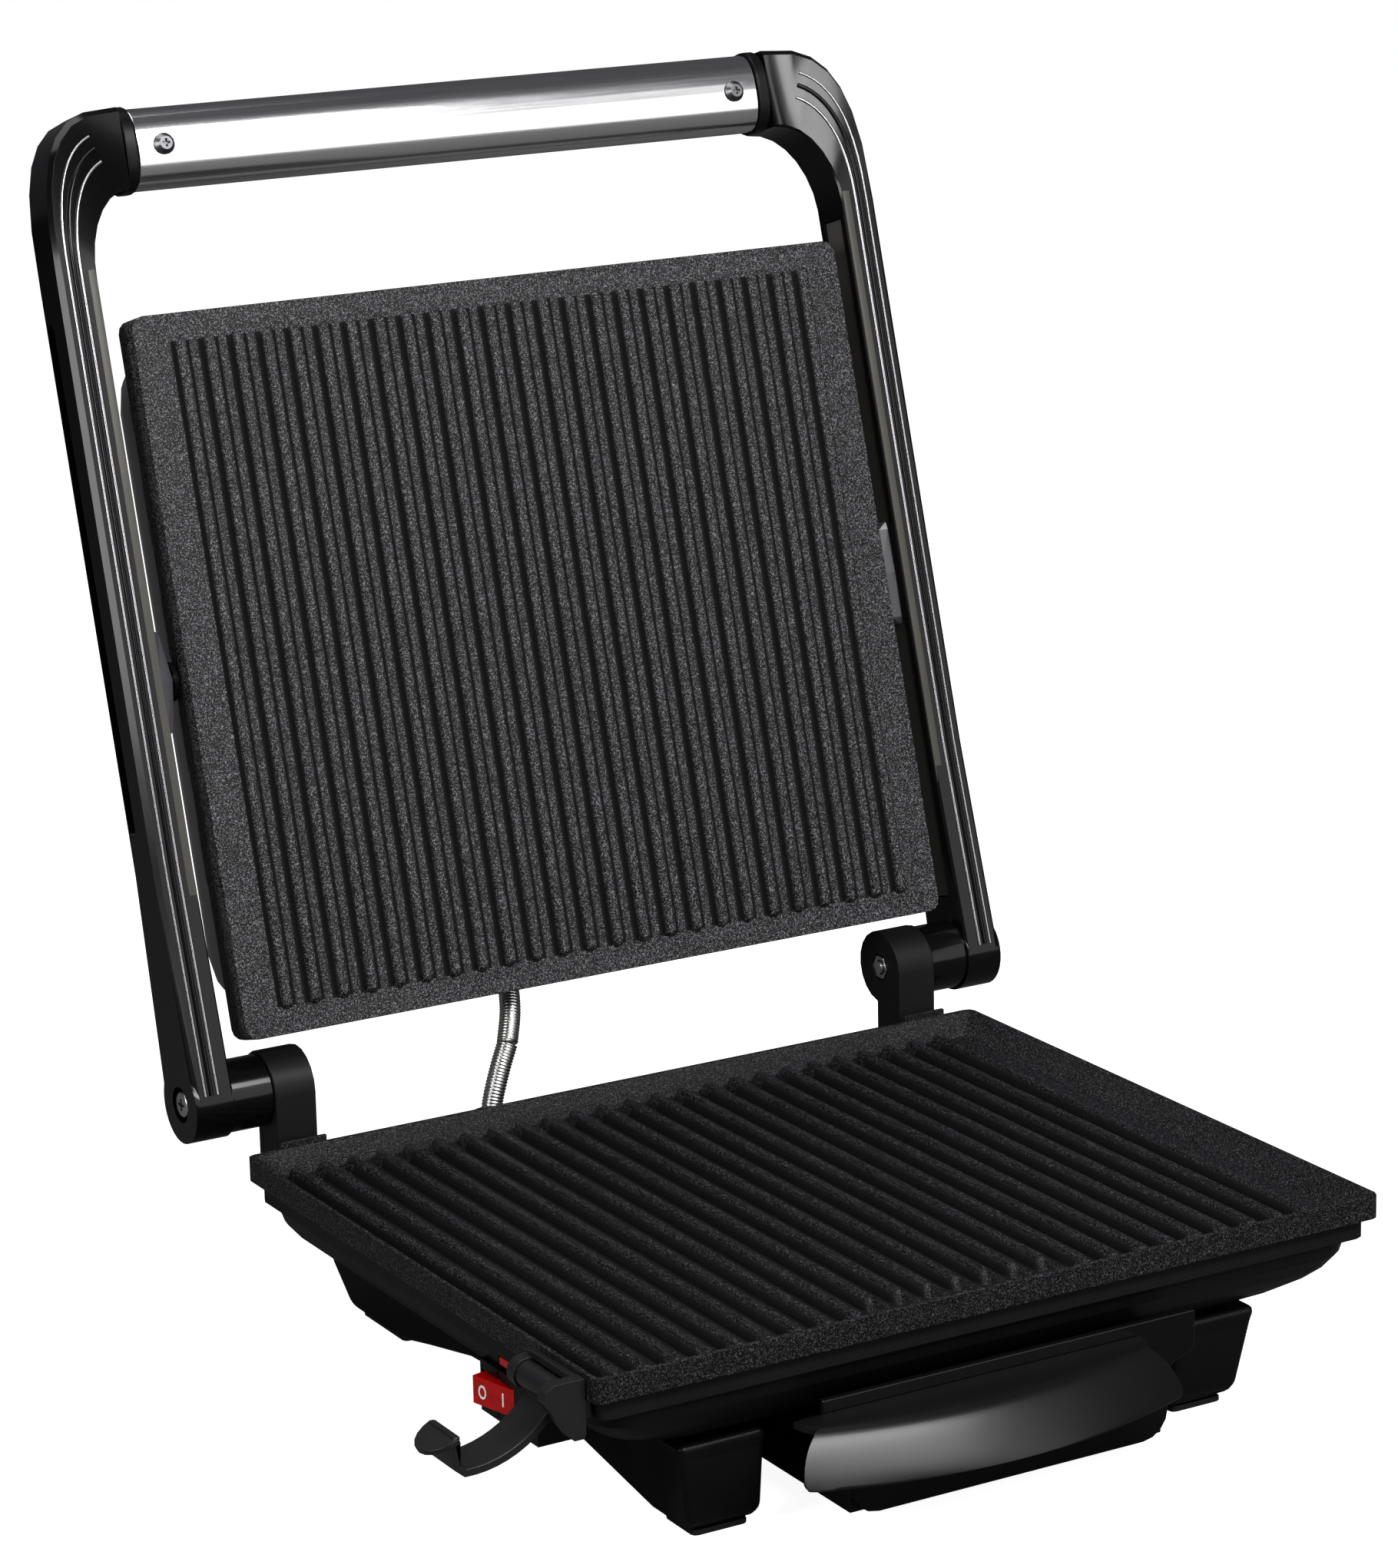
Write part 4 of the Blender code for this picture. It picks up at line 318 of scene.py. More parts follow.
def non_stick(name, base, fleck, share, roughness, origin, lean, across, along):
    """Charcoal coating with fine flecks, and a dark matt line along each foot of the ribs.

    The lines stand for the shade there. They are found from an origin and a lean about X, over a
    range across the ribs and a range along them.
    """
    material = bpy.data.materials.new(name)
    material.use_nodes = True
    tree = material.node_tree
    shader = tree.nodes["Principled BSDF"]
    shader.inputs["Specular IOR Level"].default_value = 0.16
    coords = add_node(tree, "ShaderNodeTexCoord")
    fine = add_node(tree, "ShaderNodeTexNoise", Scale=2300.0, Detail=2.0, Roughness=0.7)
    coarse = add_node(tree, "ShaderNodeTexNoise", Scale=1100.0, Detail=3.0, Roughness=0.75)
    fine_mask = add_node(tree, "ShaderNodeMapRange", From_Min=0.52 - share, From_Max=0.60 - share)
    coarse_mask = add_node(tree, "ShaderNodeMapRange", From_Min=0.55 - share, From_Max=0.62 - share)
    both = add_node(tree, "ShaderNodeMath", operation="MAXIMUM")
    colour = add_node(tree, "ShaderNodeMix", data_type="RGBA")
    gloss = add_node(tree, "ShaderNodeMapRange", To_Min=roughness, To_Max=roughness + 0.22)
    bump = add_node(tree, "ShaderNodeBump", Strength=0.9, Distance=0.00022)
    first, second = [s for s in colour.inputs if s.type == "RGBA"]
    first.default_value = (*base, 1.0)
    second.default_value = (*fleck, 1.0)
    tree.links.new(coords.outputs["Object"], fine.inputs["Vector"])
    tree.links.new(coords.outputs["Object"], coarse.inputs["Vector"])
    tree.links.new(fine.outputs["Fac"], fine_mask.inputs["Value"])
    tree.links.new(coarse.outputs["Fac"], coarse_mask.inputs["Value"])
    tree.links.new(fine_mask.outputs["Result"], both.inputs[0])
    tree.links.new(coarse_mask.outputs["Result"], both.inputs[1])
    tree.links.new(both.outputs[0], colour.inputs[0])
    placed = add_node(tree, "ShaderNodeMapping", vector_type="TEXTURE")
    placed.inputs["Location"].default_value = origin
    placed.inputs["Rotation"].default_value = (lean, 0, 0)
    parts = tree.nodes.new("ShaderNodeSeparateXYZ")
    shifted = add_node(tree, "ShaderNodeMath", operation="SUBTRACT")
    shifted.inputs[1].default_value = RIB_PITCH / 2
    from_rib = add_node(tree, "ShaderNodeMath", operation="PINGPONG")
    from_rib.inputs[1].default_value = RIB_PITCH / 2
    from_foot = add_node(tree, "ShaderNodeMath", operation="SUBTRACT")
    from_foot.inputs[1].default_value = RIB_FOOT
    distance = add_node(tree, "ShaderNodeMath", operation="ABSOLUTE")
    foot = add_node(tree, "ShaderNodeMapRange", From_Min=FOOT_LINE[0], From_Max=FOOT_LINE[1])
    foot.inputs["To Min"].default_value = FOOT_DARKNESS
    foot.inputs["To Max"].default_value = 0.0
    sideways = add_node(tree, "ShaderNodeMath", operation="COMPARE")
    sideways.inputs[1].default_value = (across[0] + across[1]) / 2
    sideways.inputs[2].default_value = (across[1] - across[0]) / 2
    lengthways = add_node(tree, "ShaderNodeMath", operation="COMPARE")
    lengthways.inputs[1].default_value = (along[0] + along[1]) / 2
    lengthways.inputs[2].default_value = (along[1] - along[0]) / 2
    area = add_node(tree, "ShaderNodeMath", operation="MULTIPLY")
    line = add_node(tree, "ShaderNodeMath", operation="MULTIPLY")
    foot_shade = add_node(tree, "ShaderNodeMix", data_type="RGBA")
    open_coat, shaded = [s for s in foot_shade.inputs if s.type == "RGBA"]
    shaded.default_value = FOOT_COLOUR
    matt = add_node(tree, "ShaderNodeMath", operation="MULTIPLY_ADD")
    matt.inputs[1].default_value = 0.4
    tree.links.new(coords.outputs["Object"], placed.inputs["Vector"])
    tree.links.new(placed.outputs["Vector"], parts.inputs["Vector"])
    tree.links.new(parts.outputs["X"], shifted.inputs[0])
    tree.links.new(shifted.outputs[0], from_rib.inputs[0])
    tree.links.new(from_rib.outputs[0], from_foot.inputs[0])
    tree.links.new(from_foot.outputs[0], distance.inputs[0])
    tree.links.new(distance.outputs[0], foot.inputs["Value"])
    tree.links.new(parts.outputs["X"], sideways.inputs[0])
    tree.links.new(parts.outputs["Z" if lean else "Y"], lengthways.inputs[0])
    tree.links.new(sideways.outputs[0], area.inputs[0])
    tree.links.new(lengthways.outputs[0], area.inputs[1])
    tree.links.new(area.outputs[0], line.inputs[0])
    tree.links.new(foot.outputs["Result"], line.inputs[1])
    tree.links.new([s for s in colour.outputs if s.type == "RGBA"][0], open_coat)
    tree.links.new(line.outputs[0], foot_shade.inputs[0])
    tree.links.new([s for s in foot_shade.outputs if s.type == "RGBA"][0], shader.inputs["Base Color"])
    tree.links.new(line.outputs[0], matt.inputs[0])
    tree.links.new(gloss.outputs["Result"], matt.inputs[2])
    tree.links.new(both.outputs[0], gloss.inputs["Value"])
    tree.links.new(matt.outputs[0], shader.inputs["Roughness"])
    tree.links.new(fine.outputs["Fac"], bump.inputs["Height"])
    tree.links.new(bump.outputs["Normal"], shader.inputs["Normal"])
    return material


# Painted shade: this copy of the coating has darker flecks and base than the upper plate's.
lower_coating = non_stick(
    "lower_coating",
    base=(0.0016, 0.0016, 0.0018),
    fleck=(0.060, 0.060, 0.065),
    share=-0.040,
    roughness=0.36,
    origin=tuple(rim),
    lean=0.0,
    across=(-0.1408, 0.1298),
    along=(-0.1100, 0.1050),
)
dressed(
    "lower_plate", "grill_plate_lower", "base", lower_coating, edge=0.0005, angle=20
)

# ---- Heating parts
# The tubular element is bent from stainless tube and clipped over a bright reflector. A disc
# thermostat is screwed to the back of each plate, and the mains is joined in a steatite block.


def metal(name, colour, roughness, spread, stretch, depth):
    """A bare metal with fine streaks along one axis and uneven gloss."""
    material = bpy.data.materials.new(name)
    material.use_nodes = True
    tree = material.node_tree
    shader = tree.nodes["Principled BSDF"]
    shader.inputs["Metallic"].default_value = 1.0
    coords = add_node(tree, "ShaderNodeTexCoord")
    mapping = add_node(tree, "ShaderNodeMapping", Scale=stretch)
    streaks = add_node(tree, "ShaderNodeTexNoise", Scale=60.0, Detail=4.0, Roughness=0.6)
    level = add_node(
        tree, "ShaderNodeMapRange", To_Min=roughness - spread / 2, To_Max=roughness + spread / 2
    )
    tone = add_node(tree, "ShaderNodeMix", data_type="RGBA")
    first, second = [s for s in tone.inputs if s.type == "RGBA"]
    first.default_value = (*[c * 0.86 for c in colour], 1.0)
    second.default_value = (*colour, 1.0)
    bump = add_node(tree, "ShaderNodeBump", Strength=0.3, Distance=depth)
    tree.links.new(coords.outputs["Object"], mapping.inputs["Vector"])
    tree.links.new(mapping.outputs["Vector"], streaks.inputs["Vector"])
    tree.links.new(streaks.outputs["Fac"], level.inputs["Value"])
    tree.links.new(streaks.outputs["Fac"], tone.inputs[0])
    tree.links.new([s for s in tone.outputs if s.type == "RGBA"][0], shader.inputs["Base Color"])
    tree.links.new(level.outputs["Result"], shader.inputs["Roughness"])
    tree.links.new(streaks.outputs["Fac"], bump.inputs["Height"])
    tree.links.new(bump.outputs["Normal"], shader.inputs["Normal"])
    return material


rolled_steel = metal(
    "rolled_steel",
    colour=(0.60, 0.60, 0.59),
    roughness=0.34,
    spread=0.2,
    stretch=(14.0, 1.0, 14.0),
    depth=0.00002,
)
zinc_plate = metal(
    "zinc_plate",
    colour=(0.66, 0.66, 0.64),
    roughness=0.28,
    spread=0.2,
    stretch=(9.0, 9.0, 9.0),
    depth=0.00002,
)
steatite = plastic(
    "steatite",
    dark=(0.70, 0.67, 0.60),
    light=(0.84, 0.81, 0.74),
    roughness=0.5,
    spread=0.1,
    size=700.0,
    depth=0.00005,
)
for level, body in (("lower", "base"), ("upper", "head")):
    dressed(f"{level}_heater", f"{level}_element", body, rolled_steel, 0.0)
    dressed(f"{level}_reflector", f"{level}_heat_dish", body, rolled_steel, 0.0)
    dressed(f"{level}_thermostat", f"{level}_cutout", body, rolled_steel, 0.0005)
dressed("terminal_block", "mains_block", "base", steatite, 0.0008)

# ---- Drip tray
# A pressed pan, coated black, slides on two angle rails and is closed by a glossy black front. The
# pull is a thin curved lip moulded with the front, hollow behind for the fingertips.
gloss_black = plastic(
    "gloss_black",
    dark=(0.0014, 0.0014, 0.0016),
    light=(0.0026, 0.0026, 0.003),
    roughness=0.16,
    spread=0.08,
    size=260.0,
    depth=0.000004,
    coat=0.06,
    shine=0.2,
)
dressed("drip_tray_pan", "fat_pan", "tray", heat_black, 0.0005)
dressed("drip_tray_panel", "tray_front", "tray", gloss_black, 0.0007)
pull_black = plastic(
    "pull_black",
    dark=(0.0024, 0.0024, 0.0027),
    light=(0.0040, 0.0040, 0.0044),
    roughness=0.30,
    spread=0.06,
    size=900.0,
    depth=0.00001,
    coat=0.0,
    shine=0.3,
)
pull_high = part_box("drip_tray_handle")[1]
pull_top = pull_high.z
pull_root = pull_high.y
PULL_WALL = 0.0022
PULL_BOW = 0.0094
PULL_BOW_FROM = 0.006
PULL_ROUND_ENDS = 0.35
PULL_GAP = 0.0003
PULL_COLUMNS = 28
# From the root to the lip: how far forward, how high, half the width, and the share of the bow.
PULL_PROFILE = (
    (0.0000, -0.0004, 0.0660, 0.0),
    (0.0030, -0.0004, 0.0655, 0.1),
    (0.0060, -0.0005, 0.0645, 0.5),
    (0.0085, -0.0008, 0.0628, 0.9),
    (0.0098, -0.0018, 0.0640, 1.0),
    (0.0110, -0.0042, 0.0668, 1.1),
    (0.0128, -0.0080, 0.0694, 1.2),
    (0.0148, -0.0122, 0.0712, 1.3),
    (0.0162, -0.0152, 0.0718, 1.36),
    (0.0169, -0.0168, 0.0708, 1.38),
    (0.0171, -0.0174, 0.0686, 1.38),
)
pull_bm = bmesh.new()
bmesh.ops.create_grid(pull_bm, x_segments=PULL_COLUMNS, y_segments=len(PULL_PROFILE) - 1, size=1.0)
for vertex in pull_bm.verts:
    across = vertex.co.x
    row = round((vertex.co.y + 1) / 2 * (len(PULL_PROFILE) - 1))
    reach, drop, half, bow = PULL_PROFILE[row]
    place = sin(across * pi / 2) * PULL_ROUND_ENDS + across * (1 - PULL_ROUND_ENDS)
    forward = reach + PULL_BOW * bow * (1 - place * place) * min(1.0, reach / PULL_BOW_FROM)
    vertex.co = (place * half, pull_root - forward, pull_top + drop - PULL_GAP)
bmesh.ops.recalc_face_normals(pull_bm, faces=pull_bm.faces)
if sum(face.normal.y for face in pull_bm.faces) > 0:
    bmesh.ops.reverse_faces(pull_bm, faces=pull_bm.faces)
pull_mesh = bpy.data.meshes.new("tray_pull")
pull_bm.to_mesh(pull_mesh)
pull_bm.free()
pull_mesh.shade_smooth()
pull_mesh.materials.append(pull_black)
pull = bpy.data.objects.new("tray_pull", pull_mesh)
bpy.context.scene.collection.objects.link(pull)
pull_wall = pull.modifiers.new("wall", "SOLIDIFY")
pull_wall.thickness = PULL_WALL
pull_wall.offset = -1.0
pull_edge = pull.modifiers.new("rolled_edge", "BEVEL")
pull_edge.width = 0.0007
pull_edge.segments = 3
pull_edge.limit_method = "ANGLE"
pull_edge.angle_limit = radians(50)
pull_smooth = pull.modifiers.new("smooth", "SUBSURF")
pull_smooth.levels = 1
pull_smooth.render_levels = 1
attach(pull, "tray")
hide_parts("drip_tray_handle")
for side in ("left", "right"):
    dressed(f"tray_rail_{side}", f"rail_{side}", "base", moulded_black, 0.0003)

# ---- Switch and pilot lamp
# A rocker of clear red polycarbonate over a lamp, in a black box let into the side of the tub. The
# off and on marks are printed on the rocker in white.
clear_red = bpy.data.materials.new("clear_red_lens")
clear_red.use_nodes = True
red_tree = clear_red.node_tree
red_shader = red_tree.nodes["Principled BSDF"]
red_shader.inputs["Roughness"].default_value = 0.1
red_shader.inputs["IOR"].default_value = 1.58
red_shader.inputs["Specular IOR Level"].default_value = 0.3
red_shader.inputs["Coat Weight"].default_value = 0.1
red_coords = add_node(red_tree, "ShaderNodeTexCoord")
red_mapping = add_node(red_tree, "ShaderNodeMapping", Scale=(3.0, 1.0, 3.0))
red_streaks = add_node(red_tree, "ShaderNodeTexNoise", Scale=160.0, Detail=3.0)
red_mix = add_node(red_tree, "ShaderNodeMix", data_type="RGBA")
red_first, red_second = [s for s in red_mix.inputs if s.type == "RGBA"]
red_first.default_value = (0.22, 0.0010, 0.0008, 1.0)
red_second.default_value = (0.62, 0.0040, 0.0030, 1.0)
red_tree.links.new(red_coords.outputs["Object"], red_mapping.inputs["Vector"])
red_tree.links.new(red_mapping.outputs["Vector"], red_streaks.inputs["Vector"])
red_tree.links.new(red_streaks.outputs["Fac"], red_mix.inputs[0])
red_tree.links.new([s for s in red_mix.outputs if s.type == "RGBA"][0], red_shader.inputs["Base Color"])
dressed("switch_housing", "switch_box", "base", moulded_black, 0.0005)
dressed("switch_rocker", "rocker_key", "rocker", clear_red, 0.0004)
dressed("pilot_lens", "lamp_lens", "base", clear_red, 0.0004)
mark_white = plastic(
    "mark_white",
    dark=(0.80, 0.80, 0.78),
    light=(0.88, 0.88, 0.86),
    roughness=0.4,
    spread=0.1,
    size=900.0,
    depth=0.00001,
)
rocker_joint = [joint for joint in frame["joints"] if joint["name"] == "switch_rock"][0]
ROCKER_FACE = 0.0039
ROCKER_LEAN = radians(14.0)
MARK_PROUD = 0.00012
RING_INNER = 0.0013
RING_OUTER = 0.0019
RING_OVAL = (1.25, 0.95, 1.0)
RING_ALONG = 0.0052
BAR_LONG = 0.0046
BAR_WIDE = 0.0007
BAR_ALONG = -0.0046


def on_rocker(bm, name, along):
    """Lays a flat mark, made about Z, on the rocker's face, at a distance along it from its middle."""
    bmesh.ops.transform(
        bm,
        matrix=Matrix.Translation(Vector(rocker_joint["pos_m"]))
        @ Matrix.Rotation(ROCKER_LEAN, 4, "Z")
        @ Matrix.Translation((-ROCKER_FACE, along, 0))
        @ Matrix.Rotation(-pi / 2, 4, "Y"),
        verts=bm.verts,
    )
    bmesh.ops.recalc_face_normals(bm, faces=bm.faces)
    mesh = bpy.data.meshes.new(name)
    bm.to_mesh(mesh)
    bm.free()
    mesh.materials.append(mark_white)
    piece = bpy.data.objects.new(name, mesh)
    bpy.context.scene.collection.objects.link(piece)
    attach(piece, "rocker")


ring_bm = bmesh.new()
ring_corners = (
    (RING_INNER, 0, 0),
    (RING_OUTER, 0, 0),
    (RING_OUTER, 0, MARK_PROUD),
    (RING_INNER, 0, MARK_PROUD),
)
ring_start = [ring_bm.verts.new(corner) for corner in ring_corners]
ring_edges = [ring_bm.edges.new((ring_start[i], ring_start[(i + 1) % 4])) for i in range(4)]
bmesh.ops.spin(
    ring_bm,
    geom=ring_start + ring_edges,
    axis=(0, 0, 1),
    cent=(0, 0, 0),
    angle=2 * pi,
    steps=28,
    use_merge=True,
)
bmesh.ops.remove_doubles(ring_bm, verts=ring_bm.verts, dist=0.00001)
bmesh.ops.scale(ring_bm, vec=RING_OVAL, verts=ring_bm.verts)
on_rocker(ring_bm, "mark_off", RING_ALONG)
bar_bm = bmesh.new()
bmesh.ops.create_cube(bar_bm, size=1.0)
bmesh.ops.scale(bar_bm, vec=(BAR_LONG, BAR_WIDE, MARK_PROUD), verts=bar_bm.verts)
bmesh.ops.translate(bar_bm, vec=(0, 0, MARK_PROUD / 2), verts=bar_bm.verts)
on_rocker(bar_bm, "mark_on", BAR_ALONG)

# ---- Latch
# The hook keeps the closed lid shut. It and its bracket are moulded in satin black nylon, and a
# steel pin pressed through both joins them.
nylon = plastic(
    "satin_nylon",
    dark=(0.0060, 0.0060, 0.0066),
    light=(0.011, 0.011, 0.012),
    roughness=0.32,
    spread=0.14,
    size=1500.0,
    depth=0.00005,
    coat=0.0,
    shine=0.4,
)
dressed("latch_bracket", "latch_lugs", "base", nylon, 0.0005)
dressed("latch_hook", "hook_arm", "hook", nylon, 0.0004)
dressed("latch_pin", "hook_pin", "hook", zinc_plate, 0.0003)

# ---- Hinge
# Black posts stand on the bridge, each with a bolt through it into the arm's boss and a nut let
# into its inner face.
for side in ("left", "right"):
    dressed(f"hinge_bracket_{side}", f"hinge_post_{side}", "base", heat_black, 0.0006, angle=35)
    dressed(f"hinge_bolt_{side}", f"pivot_bolt_{side}", "base", zinc_plate, 0.0003)
    dressed(f"hinge_nut_{side}", f"pivot_nut_{side}", "base", zinc_plate, 0.0003)

# ---- Hinge screw heads
# A zinc-plated pan head sits in the round recess at the foot of each arm, on the end of the bolt.
# Its cross recess is not cut: the shade in it is painted as two thin black bars laid on the head.
HEAD_RADIUS = 0.0046
HEAD_HIGH = 0.0016
HEAD_ROUND = 0.0008
HEAD_GAP = 0.0003
CROSS_LONG = 0.0044
CROSS_WIDE = 0.0009
CROSS_THICK = 0.0004
for side, sign in (("left", -1), ("right", 1)):
    bolt_low, bolt_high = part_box(f"hinge_bolt_{side}")
    head_x = bolt_low.x if sign < 0 else bolt_high.x
    seat = Matrix.Translation((head_x, (bolt_low.y + bolt_high.y) / 2, (bolt_low.z + bolt_high.z) / 2))
    seat = seat @ Matrix.Rotation(sign * pi / 2, 4, "Y")
    head_bm = bmesh.new()
    bmesh.ops.create_cone(
        head_bm, cap_ends=True, segments=32, radius1=HEAD_RADIUS, radius2=HEAD_RADIUS, depth=HEAD_HIGH
    )
    top_edges = [e for e in head_bm.edges if all(v.co.z > 0 for v in e.verts)]
    bmesh.ops.bevel(
        head_bm,
        geom=top_edges,
        offset=HEAD_ROUND,
        offset_type="OFFSET",
        affect="EDGES",
        segments=3,
        profile=0.5,
        material=-1,
    )
    bmesh.ops.translate(head_bm, vec=(0, 0, HEAD_HIGH / 2 + HEAD_GAP), verts=head_bm.verts)
    # Painted shade: two black bars stand for the dark of the cross recess.
    cross_shade_bm = bmesh.new()
    for wide, high in ((CROSS_LONG, CROSS_WIDE), (CROSS_WIDE, CROSS_LONG)):
        bar = bmesh.ops.create_cube(cross_shade_bm, size=1.0)["verts"]
        bmesh.ops.scale(cross_shade_bm, vec=(wide, high, CROSS_THICK), verts=bar)
        bmesh.ops.translate(cross_shade_bm, vec=(0, 0, HEAD_HIGH + CROSS_THICK / 2), verts=bar)
    for bm, name, finish in (
        (head_bm, f"hinge_screw_head_{side}", zinc_plate),
        (cross_shade_bm, f"hinge_screw_cross_shade_{side}", moulded_black),
    ):
        bmesh.ops.transform(bm, matrix=seat, verts=bm.verts)
        bmesh.ops.recalc_face_normals(bm, faces=bm.faces)
        mesh = bpy.data.meshes.new(name)
        bm.to_mesh(mesh)
        bm.free()
        mesh.shade_smooth()
        mesh.set_sharp_from_angle(angle=radians(35))
        mesh.materials.append(finish)
        piece = bpy.data.objects.new(name, mesh)
        bpy.context.scene.collection.objects.link(piece)
        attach(piece, "base")

# ---- Arms
# Each arm is one glossy black moulding with an elbow to the handle, a long groove outside and a
# grey strip clipped into its inner side.
warm_grey = plastic(
    "warm_grey_trim",
    dark=(0.050, 0.047, 0.042),
    light=(0.072, 0.068, 0.062),
    roughness=0.34,
    spread=0.1,
    size=1500.0,
    depth=0.00002,
)
dark_grey = plastic(
    "dark_grey_moulding",
    dark=(0.030, 0.030, 0.035),
    light=(0.046, 0.046, 0.053),
    roughness=0.36,
    spread=0.16,
    size=1300.0,
    depth=0.00005,
    coat=0.1,
    shine=0.4,
)
for side in ("left", "right"):
    dressed(f"arm_{side}", f"lid_arm_{side}", "arms", gloss_black, 0.0012, 3)
    dressed(f"arm_strip_{side}", f"trim_strip_{side}", "arms", warm_grey, 0.0003)
    dressed(
        f"pivot_block_{side}",
        f"head_bearing_{side}",
        "arms",
        dark_grey,
        0.0006,
    )
    dressed(f"tilt_pin_{side}", f"head_pin_{side}", "arms", rolled_steel, 0.0003)

# ---- Arm beads
# Three fine beads run up each arm's front face and round its elbow, where the moulding's ridges
# The outer two are bright grey metal, a painted highlight for the light those ridges catch on the black
# moulding, and the middle one is gloss black.
hinge = Vector([joint for joint in frame["joints"] if joint["name"] == "lid_hinge"][0]["pos_m"])
LEAN = radians(16.0)
across_lid = Vector((1, 0, 0))
behind_lid = Vector((0, cos(LEAN), -sin(LEAN)))
along_lid = Vector((0, sin(LEAN), cos(LEAN)))
ARM_OUTER = 0.1660
ARM_INNER = 0.1515
ARM_FACE = 0.0110
ELBOW = 0.2860
ARM_FLARE = 0.080
ELBOW_SQUARENESS = 3.0
ARM_END_RADIUS = 0.0138
ELBOW_CENTRE = 0.1312
ELBOW_OUT = 0.0348
ELBOW_UP = 0.0605
ELBOW_INNER_OUT = 0.0203
ELBOW_INNER_UP = 0.0315
ELBOW_THINNER = 0.0064
BEAD_STARTS = (0.002, 0.040, 0.080)
BEAD_FROM = 0.090
BEAD_LENGTH = 0.196
BEAD_STEPS = 8
# Painted highlight: a bright grey metal in place of the glints on the gloss black ridges.
bead_painted_highlight = metal(
    "bead_painted_highlight",
    colour=(0.42, 0.41, 0.43),
    roughness=0.26,
    spread=0.1,
    stretch=(1.0, 1.0, 0.2),
    depth=0.00001,
)
# How far across the face from its inner edge, the radius, and the finish.
BEADS = ((0.40, 0.0006, bead_painted_highlight), (0.56, 0.0009, gloss_black), (0.72, 0.0005, bead_painted_highlight))


def arm_point(share, s, turn):
    """A point on an arm's front face: the share from its inner to its outer edge, the distance up
    the straight, and the turn round the elbow in degrees."""
    if turn <= 0:
        foot = max(0.0, 1 - s / ARM_FLARE) * (ARM_END_RADIUS - ARM_FACE)
        return ARM_INNER + (ARM_OUTER - ARM_INNER) * share, s, -ARM_FACE - foot
    bend = radians(turn)
    outer_x = ELBOW_CENTRE + ELBOW_OUT * cos(bend) ** (2 / ELBOW_SQUARENESS)
    outer_s = ELBOW + ELBOW_UP * sin(bend) ** (2 / ELBOW_SQUARENESS)
    inner_x = ELBOW_CENTRE + ELBOW_INNER_OUT * cos(bend)
    inner_s = ELBOW + ELBOW_INNER_UP * sin(bend)
    lift = (turn / 90) ** 1.3 * ELBOW_THINNER
    x = inner_x + (outer_x - inner_x) * share
    return x, inner_s + (outer_s - inner_s) * share, -ARM_FACE + lift


bead_stops = [(s, 0) for s in BEAD_STARTS]
bead_stops += [(BEAD_FROM + BEAD_LENGTH * i / BEAD_STEPS, 0) for i in range(BEAD_STEPS + 1)]
bead_stops += [(0, degrees) for degrees in range(6, 73, 6)]
for side, sign in (("left", -1), ("right", 1)):
    for index, (share, radius, finish) in enumerate(BEADS):
        curve = bpy.data.curves.new(f"arm_bead_{side}_{index}", "CURVE")
        curve.dimensions = "3D"
        curve.bevel_depth = radius
        curve.bevel_resolution = 3
        curve.use_fill_caps = True
        spline = curve.splines.new("POLY")
        spline.points.add(len(bead_stops) - 1)
        for point, (straight, bend) in zip(spline.points, bead_stops):
            x, s, n = arm_point(share, straight, bend)
            place = hinge + across_lid * (sign * x) + behind_lid * n + along_lid * s
            point.co = (*place, 1)
        guide = bpy.data.objects.new(f"arm_bead_guide_{side}_{index}", curve)
        bpy.context.scene.collection.objects.link(guide)
        graph = bpy.context.evaluated_depsgraph_get()
        bead_mesh = bpy.data.meshes.new_from_object(guide.evaluated_get(graph))
        bpy.data.objects.remove(guide, do_unlink=True)
        bead_mesh.shade_smooth()
        bead_mesh.materials.clear()
        bead_mesh.materials.append(finish)
        bead = bpy.data.objects.new(f"arm_bead_{side}_{index}", bead_mesh)
        bpy.context.scene.collection.objects.link(bead)
        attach(bead, "arms")

# ---- Arm linings
# A taupe plastic strip is bonded along the inner edge of each arm's front face, a little proud of
# it and with rounded edges.
LINING_WIDE = 0.0030
LINING_LONG = 0.236
LINING_MIDDLE = 0.172
LINING_FRONT = -0.0113
LINING_BACK = -0.0100
LINING_ROUND = 0.0003
LINING_INSET = 0.0004
for side, sign in (("left", -1), ("right", 1)):
    lining_bm = bmesh.new()
    bmesh.ops.create_cube(lining_bm, size=1.0)
    bmesh.ops.scale(
        lining_bm, vec=(LINING_WIDE, LINING_BACK - LINING_FRONT, LINING_LONG), verts=lining_bm.verts
    )
    bmesh.ops.bevel(
        lining_bm,
        geom=lining_bm.edges,
        offset=LINING_ROUND,
        offset_type="OFFSET",
        affect="EDGES",
        segments=3,
        profile=0.5,
        material=-1,
    )
    lining_x = sign * (ARM_INNER + LINING_WIDE / 2 + LINING_INSET)
    lining_n = (LINING_FRONT + LINING_BACK) / 2
    bmesh.ops.translate(lining_bm, vec=(lining_x, lining_n, LINING_MIDDLE), verts=lining_bm.verts)
    onto_lid = Matrix.Translation(hinge) @ Matrix.Rotation(-LEAN, 4, "X")
    bmesh.ops.transform(lining_bm, matrix=onto_lid, verts=lining_bm.verts)
    lining_mesh = bpy.data.meshes.new(f"arm_lining_{side}")
    lining_bm.to_mesh(lining_mesh)
    lining_bm.free()
    lining_mesh.shade_smooth()
    lining_mesh.set_sharp_from_angle(angle=radians(28))
    lining_mesh.materials.append(warm_grey)
    lining = bpy.data.objects.new(f"arm_lining_{side}", lining_mesh)
    bpy.context.scene.collection.objects.link(lining)
    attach(lining, "arms")

